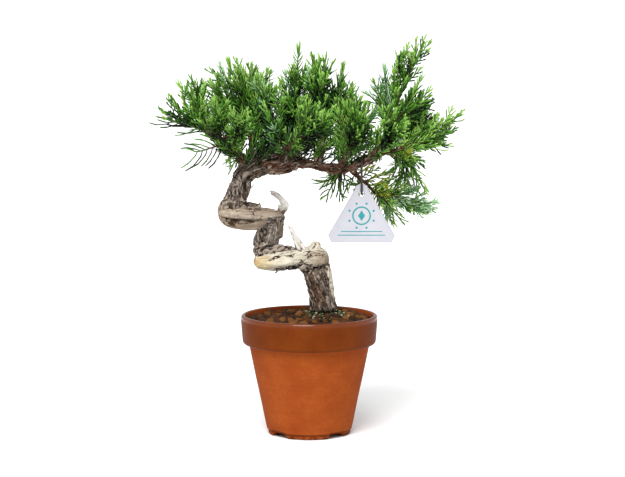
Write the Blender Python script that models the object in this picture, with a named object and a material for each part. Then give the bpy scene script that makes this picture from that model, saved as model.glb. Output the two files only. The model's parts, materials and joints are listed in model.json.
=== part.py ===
"""Juniper bonsai with a twice-folded trunk, in a turned terracotta pot, and a blank tag on a bough.

Metres, +Z up, and the viewer on the -Y side. The pot stands on z = 0 about the Z axis.
Sizes below are in millimetres unless a name says otherwise.
"""

import math
import random

import bmesh
import bpy
import numpy as np
from mathutils import Matrix, Vector
from mathutils.bvhtree import BVHTree

MM = 0.001
GAP = 0.3
SEED = 7

# Pot: one turned piece with a thick collar and four feet.
POT_HEIGHT = 122.0
RIM_RADIUS = 70.0
LIP_WIDTH = 4.6
COLLAR_HEIGHT = 29.5
COLLAR_FOOT_RADIUS = 68.2
NECK_RADIUS = 61.6
FOOT_RADIUS = 42.6
WALL = 5.0
SHELF_DROP = 6.0
FLOOR_THICKNESS = 8.0
RECESS_HEIGHT = 3.0
FOOT_RING_WIDTH = 6.0
RECESS_SLOPE = 2.0
DRAIN_RADIUS = 8.0
FOOT_EDGE = 1.5
COLLAR_UNDER_EDGE = 3.5
RIM_EDGE = 2.2
LIP_EDGE = 1.2
INNER_DRAFT = 0.8
INNER_STEP = 4.0
NOTCH_HEIGHT = 4.2
NOTCH_WIDTH = 21.0
NOTCH_OVERRUN = 5.0
NOTCH_DROP = 2.0
NOTCH_STEPS = 6
NOTCH_BEARINGS = (42, 132, 222, 312)
POT_STEPS = 32

# Soil: fills the pot and rises to the foot of the trunk.
SOIL_EDGE = 115.4
SOIL_TOP = 121.7
SOIL_FLAT_RADIUS = 18.0
SOIL_SLOPE = 13.0
SOIL_WALL_GAP = 1.0
SOIL_SHELF_GAP = 1.5
SOIL_NECK_GAP = 2.0
SOIL_RIM_GAP = 1.4
SOIL_STEPS = 20
SOIL_RINGS = 4

# Trunk and boughs: each point is x, y, z and the radius there.
TRUNK = {
    "trunk_foot": [
        (15, 10, 122, 16.2),
        (14, 9.3, 130, 13.4),
        (12.8, 8, 142, 13),
        (10.4, 6, 156, 14),
        (7.8, 3.5, 167, 14),
        (6, 2, 176, 10.5),
    ],
    "trunk_lower_turn": [
        (19.5, 4, 178, 3),
        (15.5, 3.5, 178.5, 9.5),
        (7, 2, 180, 13.2),
        (-9, -2, 180.6, 10.4),
        (-25, -9, 179.2, 9.9),
        (-40, -14, 178.2, 9.6),
        (-50, -14, 178.8, 8.2),
        (-56, -13, 179.5, 3),
    ],
    "trunk_middle": [
        (-45, -12, 180, 6),
        (-46.5, -9, 188, 10.8),
        (-43, -3, 199, 13.2),
        (-40, 1, 210, 11.4),
        (-43, 0, 220, 6),
    ],
    "trunk_upper_turn": [
        (-25, 3, 221.5, 2.5),
        (-29, 2.5, 221, 6.5),
        (-36, 1.5, 220.7, 9),
        (-48, -2, 220.6, 10.6),
        (-61, -6, 221.2, 12.3),
        (-76, -11, 223.6, 11.9),
        (-87, -12, 225.5, 9.5),
        (-95, -11.5, 227, 3),
    ],
    "trunk_rise": [
        (-80, -11, 226, 7),
        (-77, -8.5, 236, 10.8),
        (-73, -6, 245, 11.4),
        (-69.5, -3, 256, 11.2),
        (-64, -1, 265, 7),
    ],
    "trunk_top": [
        (-70.5, -1.5, 261.5, 4),
        (-66, -1, 265.5, 10),
        (-57, 1, 272, 11.4),
        (-46, 2, 276.3, 11),
        (-29, 2, 276.6, 10.4),
        (-15, 1, 279, 8.6),
        (-9, 0.5, 280, 4),
    ],
}
DEADWOOD = {
    "jin_stub": [(5, 3, 185, 5.6), (5.4, 4, 192.5, 4.6), (5.8, 4, 196, 3)],
    "jin_lower": [(-7, -3, 184, 4.6), (-11, -4.5, 194, 3.6), (-15.5, -6.5, 204, 2.2), (-19.5, -8, 213, 0.8)],
    "jin_upper": [(-29, 4, 224, 4), (-24.6, 6, 233.5, 2.8), (-29, 8, 240.5, 1.8), (-39, 8, 245.2, 0.7)],
}
BOUGHS = {
    "bough_right_inner": [
        (-16, 0, 278.2, 6),
        (5.6, -2, 275, 4.8),
        (25, -5, 271.1, 4.3),
        (33, -6.4, 270.5, 4.1),
    ],
    "bough_right": [
        (28, -5.6, 270.9, 3),
        (37, -7, 270.9, 4.3),
        (47.2, -8, 274.9, 4.1),
        (60.9, -7, 280.9, 3.7),
        (78, -5, 288.6, 2.8),
    ],
    "bough_right_up": [(61, -6, 281, 2.7), (72.6, 0, 297, 2.5), (80, 2, 309, 2.1), (85, 3, 318, 1.8)],
    "bough_right_out": [(75, -5, 287.4, 2.4), (90.4, -4, 289.8, 2), (99, -4, 290, 1.5)],
    "bough_right_low": [
        (42, -6, 272, 2.4),
        (49, 0, 263, 2.3),
        (57, 5, 256, 2),
        (67, 7, 247, 1.7),
        (77, 7, 241, 1.4),
    ],
    "bough_right_riser": [(6.8, -2, 276, 3.4), (12.5, -2, 290, 2.8), (16, 0, 303, 2.2)],
    "bough_right_middle": [(30, -6, 271.5, 2.8), (36, -12, 282, 2.4), (38, -16, 291, 1.8)],
    "bough_right_front": [(57, -8, 279, 2.6), (66, -20, 289, 2.2), (73, -28, 296, 1.7)],
    "bough_right_back": [(30, -3, 271.5, 3), (39, 16, 283, 2.4), (43, 33, 292, 1.8)],
    "bough_centre": [(-19, 0, 279, 6.2), (-17, 0, 300, 5), (-17.5, 1, 317, 3)],
    "bough_front": [(-26, -2, 277, 4.2), (-24, -18, 287, 3.2), (-22, -27, 295, 2.2)],
    "bough_back": [(-42, 4, 277, 4.4), (-35, 24, 289, 3.2), (-31, 36, 299, 2.2)],
    "bough_left": [
        (-61, 0, 269, 5),
        (-72, -3, 286, 3.8),
        (-82, -5, 296, 3.1),
        (-96, -6, 305.5, 2.4),
        (-107, -4, 312, 1.8),
    ],
    "bough_left_up": [(-59, 1, 270, 5.4), (-58.5, 4, 289, 4.2), (-58, 5, 303, 2.8)],
}
# What each limb grows from. The gap round the parent is cut from the limb.
PARENTS = {
    "trunk_foot": ["trunk_lower_turn"],
    "trunk_middle": ["trunk_lower_turn", "trunk_upper_turn"],
    "trunk_rise": ["trunk_upper_turn", "trunk_top"],
    "jin_stub": ["trunk_lower_turn"],
    "jin_lower": ["trunk_lower_turn"],
    "jin_upper": ["trunk_upper_turn"],
    "bough_right_inner": ["trunk_top"],
    "bough_right": ["bough_right_inner"],
    "bough_right_up": ["bough_right"],
    "bough_right_out": ["bough_right"],
    "bough_right_low": ["bough_right"],
    "bough_right_riser": ["bough_right_inner"],
    "bough_right_middle": ["bough_right_inner", "bough_right"],
    "bough_right_front": ["bough_right"],
    "bough_right_back": ["bough_right_inner", "bough_right"],
    "bough_centre": ["trunk_top"],
    "bough_front": ["trunk_top"],
    "bough_back": ["trunk_top"],
    "bough_left": ["trunk_top", "trunk_rise"],
    "bough_left_up": ["trunk_top", "trunk_rise"],
}
RING_SPACING = 8.5
TRUNK_SIDES = 10
BOUGH_SIDES = 7
TRUNK_UNEVEN = 0.06
FLARE_LOBES = 5
FLARE_DEPTH = 0.12

# Foliage: each mass runs from its root, at the end or side of a bough, out to its furthest tips.
# The number is the half width of its body, and the last word how finely it is faceted.
MASSES = {
    "mass_left_outer": ((-110, -5, 314), [(-156, -12, 329), (-139, -30, 311), (-151, 8, 344)], 17, "coarse"),
    "mass_left_upper": ((-106, 2, 318), [(-136, 16, 359), (-117, -2, 360), (-101, -10, 349)], 18, "fine"),
    "mass_left_front": ((-80, -16, 303), [(-95, -40, 345), (-104, -46, 322)], 19, "fine"),
    "mass_left_droop": ((-82, -18, 293), [(-124, -34, 292), (-115, -22, 268)], 8, "coarse"),
    "mass_left_under": ((-74, -9, 282), [(-84, -14, 281), (-78, -6, 268)], 6, "coarse"),
    "mass_left_upright": ((-72, 14, 302), [(-103, 18, 362), (-91, 12, 376)], 18, "coarse"),
    "mass_left_peak": ((-62, 2, 308), [(-79, 0, 381), (-70, -8, 378)], 16, "coarse"),
    "mass_left_inner": ((-54, 14, 304), [(-62, 24, 374), (-54, 36, 368)], 17, "coarse"),
    "mass_left_second": ((-49, -2, 302), [(-42, -6, 372), (-51, -16, 365)], 15, "coarse"),
    "mass_front_tuft": ((-27, -30, 295), [(-46, -52, 339), (-27, -50, 342), (-44, -60, 298)], 19, "fine"),
    "mass_centre_spire": ((-17.5, 3, 319), [(-10, 4, 396), (-21, 0, 371)], 15, "coarse"),
    "mass_centre_low": ((-19, -16, 312), [(-30, -28, 358), (-20, -24, 359), (-9, -50, 333)], 17, "coarse"),
    "mass_centre_right_up": ((9, -6, 309), [(3, -6, 389), (17, 0, 384)], 18, "coarse"),
    "mass_centre_right": ((21, 12, 308), [(35, 18, 378), (38, 10, 360)], 18, "coarse"),
    "mass_right_centre": ((30, -10, 302), [(43, -14, 355), (54, -20, 343)], 16, "coarse"),
    "mass_right_low_centre": ((41, -20, 292), [(48, -38, 334), (60, -36, 318)], 15, "coarse"),
    "mass_right_upright": ((81, 12, 312), [(77, 16, 378), (63, 22, 353)], 16, "coarse"),
    "mass_right_spire": ((91, 4, 334), [(119, 0, 408), (105, 4, 396), (89, 10, 394)], 17, "fine"),
    "mass_right_mid": ((88, -10, 317), [(123, -22, 353), (112, -14, 365)], 16, "coarse"),
    "mass_right_mid_low": ((97, 8, 300), [(124, 16, 338), (114, 26, 327)], 17, "coarse"),
    "mass_right_outer": ((103, -5, 291), [(154, -14, 330), (148, -6, 308), (134, -4, 293)], 17, "fine"),
    "mass_right_under": ((88, -16, 285), [(108, -40, 282)], 9, "coarse"),
    "mass_right_hang": ((98, 5, 280), [(113, 2, 266), (117, 10, 258)], 9, "coarse"),
    "mass_low_right_outer": ((81, 6, 240), [(134, 0, 227), (127, -8, 239), (119, 8, 219)], 13, "fine"),
    "mass_low_right_inner": ((68, 11, 243), [(98, 16, 216), (86, 20, 213)], 10, "coarse"),
    "mass_below_bough": ((38, 8, 263), [(12, 14, 254), (14, 10, 240), (36, 18, 239)], 12, "coarse"),
    "mass_back_left": ((-48, 38, 302), [(-76, 74, 340), (-50, 92, 325)], 26, "fine"),
    "mass_back_centre": ((-14, 27, 314), [(-14, 72, 352), (7, 92, 334), (24, 74, 344)], 21, "fine"),
    "mass_back_right": ((46, 36, 298), [(37, 80, 329), (60, 92, 312), (74, 68, 330)], 24, "fine"),
    "mass_back_far_right": ((92, 24, 302), [(107, 58, 341), (128, 64, 315)], 22, "fine"),
    "mass_front_left": ((-64, -34, 302), [(-77, -74, 332), (-57, -92, 319)], 19, "coarse"),
    "mass_front_centre": ((5, -30, 304), [(-7, -78, 336), (18, -92, 327)], 20, "fine"),
    "mass_front_right": ((75, -31, 299), [(71, -72, 332), (96, -90, 317)], 19, "fine"),
}
SUBDIVISIONS = {"coarse": 2, "fine": 3}
LOBE_WIDTH = 0.55
TAIL_WIDTH = 0.42
OVAL_SHARE = 0.85
UNEVEN = 0.09
SWELLS = 4
SWELL_RATE = 6.0
LEAST_REACH = 0.5
PARTING_MARGIN = 2.0
PARTING_DETAIL = 4
SHRINK = 0.92
MOST_SHRINKS = 60

# Tag: a blank plastic triangle on a thin closed tie that hangs round the right bough.
TAG_X = 52.9
TAG_HOLE_Z = 246.0
HINGE = (TAG_X, -8.0, 277.5)
TIE_LOOP_RADIUS = 5.6
TIE_RADIUS = 0.6
TIE_FOOT_RADIUS = 1.7
TIE_SIDES = 6
TIE_LOOP_STEPS = 12
TIE_FOOT_STEPS = 6
TAG_THICKNESS = 1.2
TAG_HOLE_RADIUS = 2.9
TAG_HOLE_STEPS = 16
TAG_HALF_CREST = 2.75
TAG_HALF_TOP = 5.75
TAG_HALF_SHOULDER = 7.0
TAG_HALF_WIDTH = 33.8
TAG_HALF_BOTTOM = 30.6
TAG_CREST_Z = 256.0
TAG_TOP_Z = 254.4
TAG_SHOULDER_Z = 250.5
TAG_CORNER_Z = 204.0
TAG_BOTTOM_Z = 197.0

COLOURS = {
    "pot": ((0.47, 0.13, 0.035), 0.75),
    "soil": ((0.18, 0.075, 0.028), 0.95),
    "bark": ((0.19, 0.145, 0.115), 0.9),
    "deadwood": ((0.62, 0.54, 0.42), 0.8),
    "shoot": ((0.17, 0.075, 0.045), 0.85),
    "foliage": ((0.065, 0.23, 0.05), 0.6),
    "tag": ((0.78, 0.78, 0.86), 0.4),
    "tie": ((0.06, 0.055, 0.05), 0.6),
}


def clear_scene():
    for obj in list(bpy.data.objects):
        bpy.data.objects.remove(obj, do_unlink=True)


def material(name, kind, shift=0.0):
    """A plain Principled finish of its own for one node, its colour shifted a little."""
    (red, green, blue), roughness = COLOURS[kind]
    made = bpy.data.materials.new(name)
    made.use_nodes = True
    shader = made.node_tree.nodes["Principled BSDF"]
    tint = 1 + shift
    shader.inputs["Base Color"].default_value = (red * tint, green * tint, blue * tint, 1)
    shader.inputs["Roughness"].default_value = roughness
    shader.inputs["Metallic"].default_value = 0
    return made


def add_node(name, bm, kind, smooth=False, shift=0.0):
    """Makes a node from a bmesh in millimetres."""
    bmesh.ops.scale(bm, vec=(MM, MM, MM), verts=bm.verts)
    bmesh.ops.recalc_face_normals(bm, faces=bm.faces)
    for face in bm.faces:
        face.smooth = smooth
    mesh = bpy.data.meshes.new(name)
    bm.to_mesh(mesh)
    bm.free()
    obj = bpy.data.objects.new(name, mesh)
    bpy.context.scene.collection.objects.link(obj)
    obj.data.materials.append(material(name, kind, shift))
    return obj


def cut(obj, cutter):
    """Takes the cutter's volume out of the object, and hides the cutter."""
    cutter.hide_render = True
    cutter.display_type = "WIRE"
    boolean = obj.modifiers.new("cut_" + cutter.name, "BOOLEAN")
    boolean.operation = "DIFFERENCE"
    boolean.solver = "EXACT"
    boolean.object = cutter


def turned(bm, profile, steps):
    """Turns a closed profile of (radius, z) points about Z."""
    verts = [bm.verts.new((radius, 0, z)) for radius, z in profile]
    edges = [bm.edges.new((a, b)) for a, b in zip(verts, verts[1:] + verts[:1])]
    bmesh.ops.spin(
        bm,
        geom=verts + edges,
        axis=(0, 0, 1),
        cent=(0, 0, 0),
        angle=2 * math.pi,
        steps=steps,
        use_merge=True,
    )
    bmesh.ops.remove_doubles(bm, verts=bm.verts, dist=0.001)


def corner(centre, radius, start_deg, end_deg, steps=3):
    """Points of a rounded corner, as (radius, z)."""
    turn = [math.radians(start_deg + (end_deg - start_deg) * i / steps) for i in range(steps + 1)]
    return [(centre[0] + radius * math.cos(a), centre[1] + radius * math.sin(a)) for a in turn]


def wall_inner_radius(z):
    """The inner radius of the pot's tapered wall below its collar."""
    neck_z = POT_HEIGHT - COLLAR_HEIGHT
    slope = (NECK_RADIUS - FOOT_RADIUS) / neck_z
    return FOOT_RADIUS + slope * z - WALL


def build_pot():
    neck_z = POT_HEIGHT - COLLAR_HEIGHT
    shelf_z = neck_z - SHELF_DROP
    inner_rim = RIM_RADIUS - LIP_WIDTH
    foot_inner = FOOT_RADIUS - FOOT_RING_WIDTH
    profile = [(DRAIN_RADIUS, RECESS_HEIGHT), (foot_inner - RECESS_SLOPE, RECESS_HEIGHT), (foot_inner, 0)]
    profile += corner((FOOT_RADIUS - FOOT_EDGE, FOOT_EDGE), FOOT_EDGE, -90, 0, 2)
    profile += [(NECK_RADIUS, neck_z)]
    under = (COLLAR_FOOT_RADIUS - COLLAR_UNDER_EDGE, neck_z + COLLAR_UNDER_EDGE)
    profile += corner(under, COLLAR_UNDER_EDGE, -90, 0)
    profile += corner((RIM_RADIUS - RIM_EDGE, POT_HEIGHT - RIM_EDGE), RIM_EDGE, 0, 90)
    profile += corner((inner_rim + LIP_EDGE, POT_HEIGHT - LIP_EDGE), LIP_EDGE, 90, 180, 2)
    profile += [(inner_rim - INNER_DRAFT, neck_z + INNER_STEP), (wall_inner_radius(shelf_z), shelf_z)]
    profile += [(wall_inner_radius(FLOOR_THICKNESS), FLOOR_THICKNESS), (DRAIN_RADIUS, FLOOR_THICKNESS)]
    bm = bmesh.new()
    turned(bm, profile, POT_STEPS)
    pot = add_node("pot", bm, "pot", smooth=True)
    for bearing in NOTCH_BEARINGS:
        cut(pot, notch_cutter(bearing))
    return pot


def notch_cutter(bearing):
    """A low arch, cut through the foot ring."""
    bm = bmesh.new()
    reach = FOOT_RADIUS + NOTCH_OVERRUN
    depth = FOOT_RING_WIDTH + 2 * NOTCH_OVERRUN
    outline = [(-NOTCH_WIDTH / 2, -NOTCH_DROP), (NOTCH_WIDTH / 2, -NOTCH_DROP)]
    for i in range(NOTCH_STEPS + 1):
        angle = math.pi * i / NOTCH_STEPS
        outline.append((NOTCH_WIDTH / 2 * math.cos(angle), NOTCH_HEIGHT * math.sin(angle)))
    face = bm.faces.new([bm.verts.new((reach - depth, y, z)) for y, z in outline])
    extruded = bmesh.ops.extrude_face_region(bm, geom=[face])
    moved = [item for item in extruded["geom"] if isinstance(item, bmesh.types.BMVert)]
    bmesh.ops.translate(bm, vec=(depth, 0, 0), verts=moved)
    turn = Matrix.Rotation(math.radians(bearing), 3, "Z")
    bmesh.ops.rotate(bm, verts=bm.verts, cent=(0, 0, 0), matrix=turn)
    return add_node(f"cutter_notch_{bearing}", bm, "pot")


def soil_height(x, y):
    """Level near the rim, rising to a flat patch under the trunk."""
    foot_x, foot_y = TRUNK["trunk_foot"][0][:2]
    away = max(0.0, math.hypot(x - foot_x, y - foot_y) - SOIL_FLAT_RADIUS)
    return SOIL_EDGE + (SOIL_TOP - SOIL_EDGE) * math.exp(-((away / SOIL_SLOPE) ** 2))


def build_soil():
    """Rings across the top follow the soil's height, and the sides follow the pot's inside."""
    neck_z = POT_HEIGHT - COLLAR_HEIGHT
    shelf_z = neck_z - SHELF_DROP
    inner_rim = RIM_RADIUS - LIP_WIDTH
    side = [
        (wall_inner_radius(FLOOR_THICKNESS) - SOIL_WALL_GAP, FLOOR_THICKNESS + GAP),
        (wall_inner_radius(shelf_z) - SOIL_WALL_GAP, shelf_z + SOIL_SHELF_GAP),
        (inner_rim - SOIL_NECK_GAP, neck_z + SHELF_DROP),
    ]
    top_radius = inner_rim - SOIL_RIM_GAP
    bm = bmesh.new()
    rings = []
    foot_x, foot_y = TRUNK["trunk_foot"][0][:2]
    for radius, z in side:
        rings.append([(radius, z, 0.0)] * SOIL_STEPS)
    for i in range(SOIL_RINGS):
        rings.append([(top_radius * (1 - i / SOIL_RINGS), None, i / SOIL_RINGS)] * SOIL_STEPS)
    loops = []
    for ring in rings:
        loop = []
        for step, (radius, z, shift) in enumerate(ring):
            angle = 2 * math.pi * step / SOIL_STEPS
            x = radius * math.cos(angle) + foot_x * shift
            y = radius * math.sin(angle) + foot_y * shift
            loop.append(bm.verts.new((x, y, soil_height(x, y) if z is None else z)))
        loops.append(loop)
    join_loops(bm, loops)
    return add_node("soil", bm, "soil")


def join_loops(bm, loops):
    """Joins rings of equal count into a closed skin of triangles, with a flat cap at each end."""
    for below, above in zip(loops, loops[1:]):
        for i, vert in enumerate(below):
            after = (i + 1) % len(below)
            bm.faces.new((vert, below[after], above[after]))
            bm.faces.new((vert, above[after], above[i]))
    bm.faces.new(list(reversed(loops[0])))
    bm.faces.new(loops[-1])


def smooth_path(points, spacing):
    """Catmull-Rom through the points, as rows of x, y, z, radius."""
    rows = np.array(points, float)
    padded = np.vstack([2 * rows[0] - rows[1], rows, 2 * rows[-1] - rows[-2]])
    path = []
    for i in range(1, len(padded) - 2):
        before, start, end, after = padded[i - 1 : i + 3]
        steps = max(1, round(np.linalg.norm((end - start)[:3]) / spacing))
        for step in range(steps):
            t = step / steps
            path.append(
                0.5
                * (
                    2 * start
                    + (end - before) * t
                    + (2 * before - 5 * start + 4 * end - after) * t**2
                    + (3 * start - before - 3 * end + after) * t**3
                )
            )
    path.append(rows[-1])
    path = np.array(path)
    path[:, 3] = np.maximum(path[:, 3], rows[:, 3].min())
    return path


def tube_bmesh(points, sides, uneven, grow=0.0, flat_foot=False):
    """A closed, slightly uneven tube. Grow widens it all round and past both ends."""
    path = smooth_path(points, RING_SPACING)
    centres = path[:, :3].copy()
    along = np.gradient(centres, axis=0)
    along /= np.linalg.norm(along, axis=1)[:, None]
    centres[0] -= along[0] * grow
    centres[-1] += along[-1] * grow
    if flat_foot:
        along[0] = (0, 0, 1)
    across = np.cross(along[0], (0.0, 1.0, 0.0))
    dice = random.Random(SEED)
    ridges = [dice.uniform(0, 2 * math.pi) for _ in range(3)]
    bm = bmesh.new()
    loops = []
    for i, (centre, ahead, radius) in enumerate(zip(centres, along, path[:, 3])):
        across = across - ahead * (across @ ahead)
        across /= np.linalg.norm(across)
        side = np.cross(ahead, across)
        loop = []
        for k in range(sides):
            angle = 2 * math.pi * k / sides
            swell = uneven * math.sin(2 * angle + ridges[0] + 0.5 * i)
            swell += 0.6 * uneven * math.sin(3 * angle + ridges[1] - 0.7 * i)
            if flat_foot:
                swell += FLARE_DEPTH * max(0.0, 1 - i / 2) * math.cos(FLARE_LOBES * angle + ridges[2])
            outward = math.cos(angle) * across + math.sin(angle) * side
            loop.append(bm.verts.new(centre + (radius * (1 + swell) + grow) * outward))
        loops.append(loop)
    join_loops(bm, loops)
    bmesh.ops.triangulate(bm, faces=[face for face in bm.faces if len(face.verts) > 4])
    return bm


def limb(name, grow=0.0):
    """The tube of one trunk piece, jin or bough."""
    points = {**TRUNK, **DEADWOOD, **BOUGHS}[name]
    if name in TRUNK:
        return tube_bmesh(points, TRUNK_SIDES, TRUNK_UNEVEN, grow, flat_foot=name == "trunk_foot")
    return tube_bmesh(points, BOUGH_SIDES, 0.0, grow)


def build_limbs():
    kinds = [(TRUNK, "bark"), (DEADWOOD, "deadwood"), (BOUGHS, "shoot")]
    made = {}
    for group, kind in kinds:
        for name in group:
            bare = name in ("trunk_lower_turn", "trunk_upper_turn")
            made[name] = add_node(name, limb(name), "deadwood" if bare else kind, smooth=True)
    for name, parents in PARENTS.items():
        for parent in parents:
            cutter = add_node(f"cutter_{name}_{parent}", limb(parent, GAP), "bark")
            cut(made[name], cutter)
    return made


def directions(subdivisions):
    """Unit directions and faces of an evenly divided sphere."""
    bm = bmesh.new()
    bmesh.ops.create_icosphere(bm, subdivisions=subdivisions, radius=1)
    bm.verts.ensure_lookup_table()
    rays = np.array([vert.co.normalized() for vert in bm.verts])
    faces = [[vert.index for vert in face.verts] for face in bm.faces]
    bm.free()
    return rays, faces


class Mass:
    """One foliage mass: reach along each ray from a centre, so that its skin can't cross itself."""

    def __init__(self, name, root, tips, width, detail, dice):
        self.name = name
        self.root = np.array(root, float)
        self.tips = np.array(tips, float)
        self.width = width
        self.centre = self.root + 0.5 * (self.tips.mean(axis=0) - self.root)
        self.rays, self.faces = directions(SUBDIVISIONS[detail])
        self.reach = self.body(dice)
        self.skeleton = np.vstack([self.root, self.centre, self.tips])
        for place, share in [(self.root, TAIL_WIDTH), *[(tip, LOBE_WIDTH) for tip in self.tips]]:
            self.add_lobe(place, share)

    def body(self, dice):
        """An uneven oval along the line from root to tips."""
        axis = self.tips.mean(axis=0) - self.root
        half = np.linalg.norm(axis) / 2
        axis /= 2 * half
        along = self.rays @ axis
        across = np.sqrt(np.maximum(0, 1 - along**2))
        oval = 1 / np.sqrt((along / (OVAL_SHARE * half)) ** 2 + (across / self.width) ** 2)
        for _ in range(SWELLS):
            aim = np.array([dice.gauss(0, 1) for _ in range(3)])
            wave = self.rays @ (SWELL_RATE * aim / np.linalg.norm(aim))
            oval *= 1 + UNEVEN * np.sin(wave + dice.uniform(0, 2 * math.pi))
        return oval

    def add_lobe(self, place, share):
        """Draws the skin out to a place, which one vertex then marks exactly."""
        offset = place - self.centre
        length = np.linalg.norm(offset)
        aim = offset / length
        angle = np.arccos(np.clip(self.rays @ aim, -1, 1))
        self.reach = np.maximum(self.reach, length * np.exp(-((angle / share) ** 2)))
        nearest = int(np.argmin(angle))
        self.rays[nearest] = aim
        self.reach[nearest] = length

    def points(self):
        return self.centre + self.rays * self.reach[:, None]

    def keep_behind(self, normal, offset):
        """Cuts the reach back to one side of a plane."""
        rate = self.rays @ normal
        room = offset - self.centre @ normal
        ahead = rate > 1e-6
        self.reach[ahead] = np.minimum(self.reach[ahead], np.maximum(room / rate[ahead], LEAST_REACH))

    def pull_in(self, rows):
        self.reach[rows] *= SHRINK

    def tree(self):
        return BVHTree.FromPolygons([tuple(p) for p in self.points()], self.faces)


def part_pair(one, other, normals):
    """Parts two masses by the plane that leaves their skeletons furthest apart."""
    reach = one.reach.max() + other.reach.max()
    if np.linalg.norm(one.centre - other.centre) > reach + PARTING_MARGIN:
        return
    highest = (one.skeleton @ normals.T).max(axis=0)
    lowest = (other.skeleton @ normals.T).min(axis=0)
    best = int(np.argmax(lowest - highest))
    share = one.width / (one.width + other.width)
    offset = highest[best] + share * (lowest[best] - highest[best])
    one.keep_behind(normals[best], offset - GAP / 2)
    other.keep_behind(-normals[best], -offset - GAP / 2)


def build_masses(limbs):
    dice = random.Random(SEED)
    masses = [Mass(name, *row, dice) for name, row in MASSES.items()]
    normals, _ = directions(PARTING_DETAIL)
    for i, one in enumerate(masses):
        for other in masses[i + 1 :]:
            part_pair(one, other, normals)
    barriers = [barrier(name) for name in limbs]
    for mass in masses:
        clear_barriers(mass, barriers)
        bm = bmesh.new()
        verts = [bm.verts.new(place) for place in mass.points()]
        for face in mass.faces:
            bm.faces.new([verts[i] for i in face])
        add_node(mass.name, bm, "foliage", shift=dice.uniform(-0.25, 0.25))


def barrier(name):
    """A search tree of a limb, widened by the gap."""
    bm = limb(name, GAP)
    tree = BVHTree.FromBMesh(bm)
    bm.free()
    return tree


def clear_barriers(mass, barriers):
    """Pulls in each facet that meets a limb, until none does."""
    for _ in range(MOST_SHRINKS):
        tree = mass.tree()
        met = {pair[0] for other in barriers for pair in tree.overlap(other)}
        if not met:
            return
        mass.pull_in(sorted({i for face in met for i in mass.faces[face]}))
    raise RuntimeError(f"{mass.name} can't be cleared of the limbs")


def build_tag():
    """A chamfered triangle with a round hole near its rounded top."""
    y_front = HINGE[1] - TAG_THICKNESS / 2
    half = [
        (TAG_HALF_CREST, TAG_CREST_Z),
        (TAG_HALF_TOP, TAG_TOP_Z),
        (TAG_HALF_SHOULDER, TAG_SHOULDER_Z),
        (TAG_HALF_WIDTH, TAG_CORNER_Z),
        (TAG_HALF_BOTTOM, TAG_BOTTOM_Z),
    ]
    outline = half + [(-x, z) for x, z in reversed(half)]
    bm = bmesh.new()
    face = bm.faces.new([bm.verts.new((TAG_X + x, y_front, z)) for x, z in outline])
    extruded = bmesh.ops.extrude_face_region(bm, geom=[face])
    moved = [item for item in extruded["geom"] if isinstance(item, bmesh.types.BMVert)]
    bmesh.ops.translate(bm, vec=(0, TAG_THICKNESS, 0), verts=moved)
    tag = add_node("tag_plate", bm, "tag")
    bm = bmesh.new()
    bmesh.ops.create_cone(
        bm,
        cap_ends=True,
        segments=TAG_HOLE_STEPS,
        radius1=TAG_HOLE_RADIUS,
        radius2=TAG_HOLE_RADIUS,
        depth=4 * TAG_THICKNESS,
    )
    bmesh.ops.rotate(bm, verts=bm.verts, cent=(0, 0, 0), matrix=Matrix.Rotation(math.pi / 2, 3, "X"))
    bmesh.ops.translate(bm, verts=bm.verts, vec=(TAG_X, HINGE[1], TAG_HOLE_Z))
    cut(tag, add_node("cutter_tag_hole", bm, "tag"))


def tie_route():
    """A belt round two circles in the YZ plane: a wide one round the bough, a narrow one in the hole."""
    top = Vector((HINGE[1], HINGE[2]))
    foot = Vector((HINGE[1], TAG_HOLE_Z + TAG_HOLE_RADIUS + TIE_RADIUS - GAP - TIE_FOOT_RADIUS))
    lean = math.asin((TIE_LOOP_RADIUS - TIE_FOOT_RADIUS) / (top - foot).length)
    route = []
    for centre, radius, start, end, steps in (
        (top, TIE_LOOP_RADIUS, -lean, math.pi + lean, TIE_LOOP_STEPS),
        (foot, TIE_FOOT_RADIUS, math.pi + lean, 2 * math.pi - lean, TIE_FOOT_STEPS),
    ):
        for i in range(steps + 1):
            angle = start + (end - start) * i / steps
            route.append((TAG_X, centre.x + radius * math.cos(angle), centre.y + radius * math.sin(angle)))
    return route


def build_tie():
    """Sweeps a thin round section along the closed route."""
    route = np.array(tie_route())
    sideways = np.array((1.0, 0.0, 0.0))
    bm = bmesh.new()
    loops = []
    for before, here, after in zip(np.roll(route, 1, axis=0), route, np.roll(route, -1, axis=0)):
        ahead = (after - before) / np.linalg.norm(after - before)
        outward = np.cross(ahead, sideways)
        loop = []
        for k in range(TIE_SIDES):
            angle = 2 * math.pi * k / TIE_SIDES
            around = math.cos(angle) * outward + math.sin(angle) * sideways
            loop.append(bm.verts.new(here + TIE_RADIUS * around))
        loops.append(loop)
    for below, above in zip(loops, loops[1:] + loops[:1]):
        for k in range(TIE_SIDES):
            after = (k + 1) % TIE_SIDES
            bm.faces.new((below[k], below[after], above[after], above[k]))
    add_node("tag_tie", bm, "tie", smooth=True)


def main():
    clear_scene()
    build_pot()
    build_soil()
    limbs = build_limbs()
    build_masses(limbs)
    build_tag()
    build_tie()


main()
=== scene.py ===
import json
import math
import random

import bmesh
import bpy
import numpy as np
from mathutils import Matrix, Vector, noise
from mathutils.bvhtree import BVHTree

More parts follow.
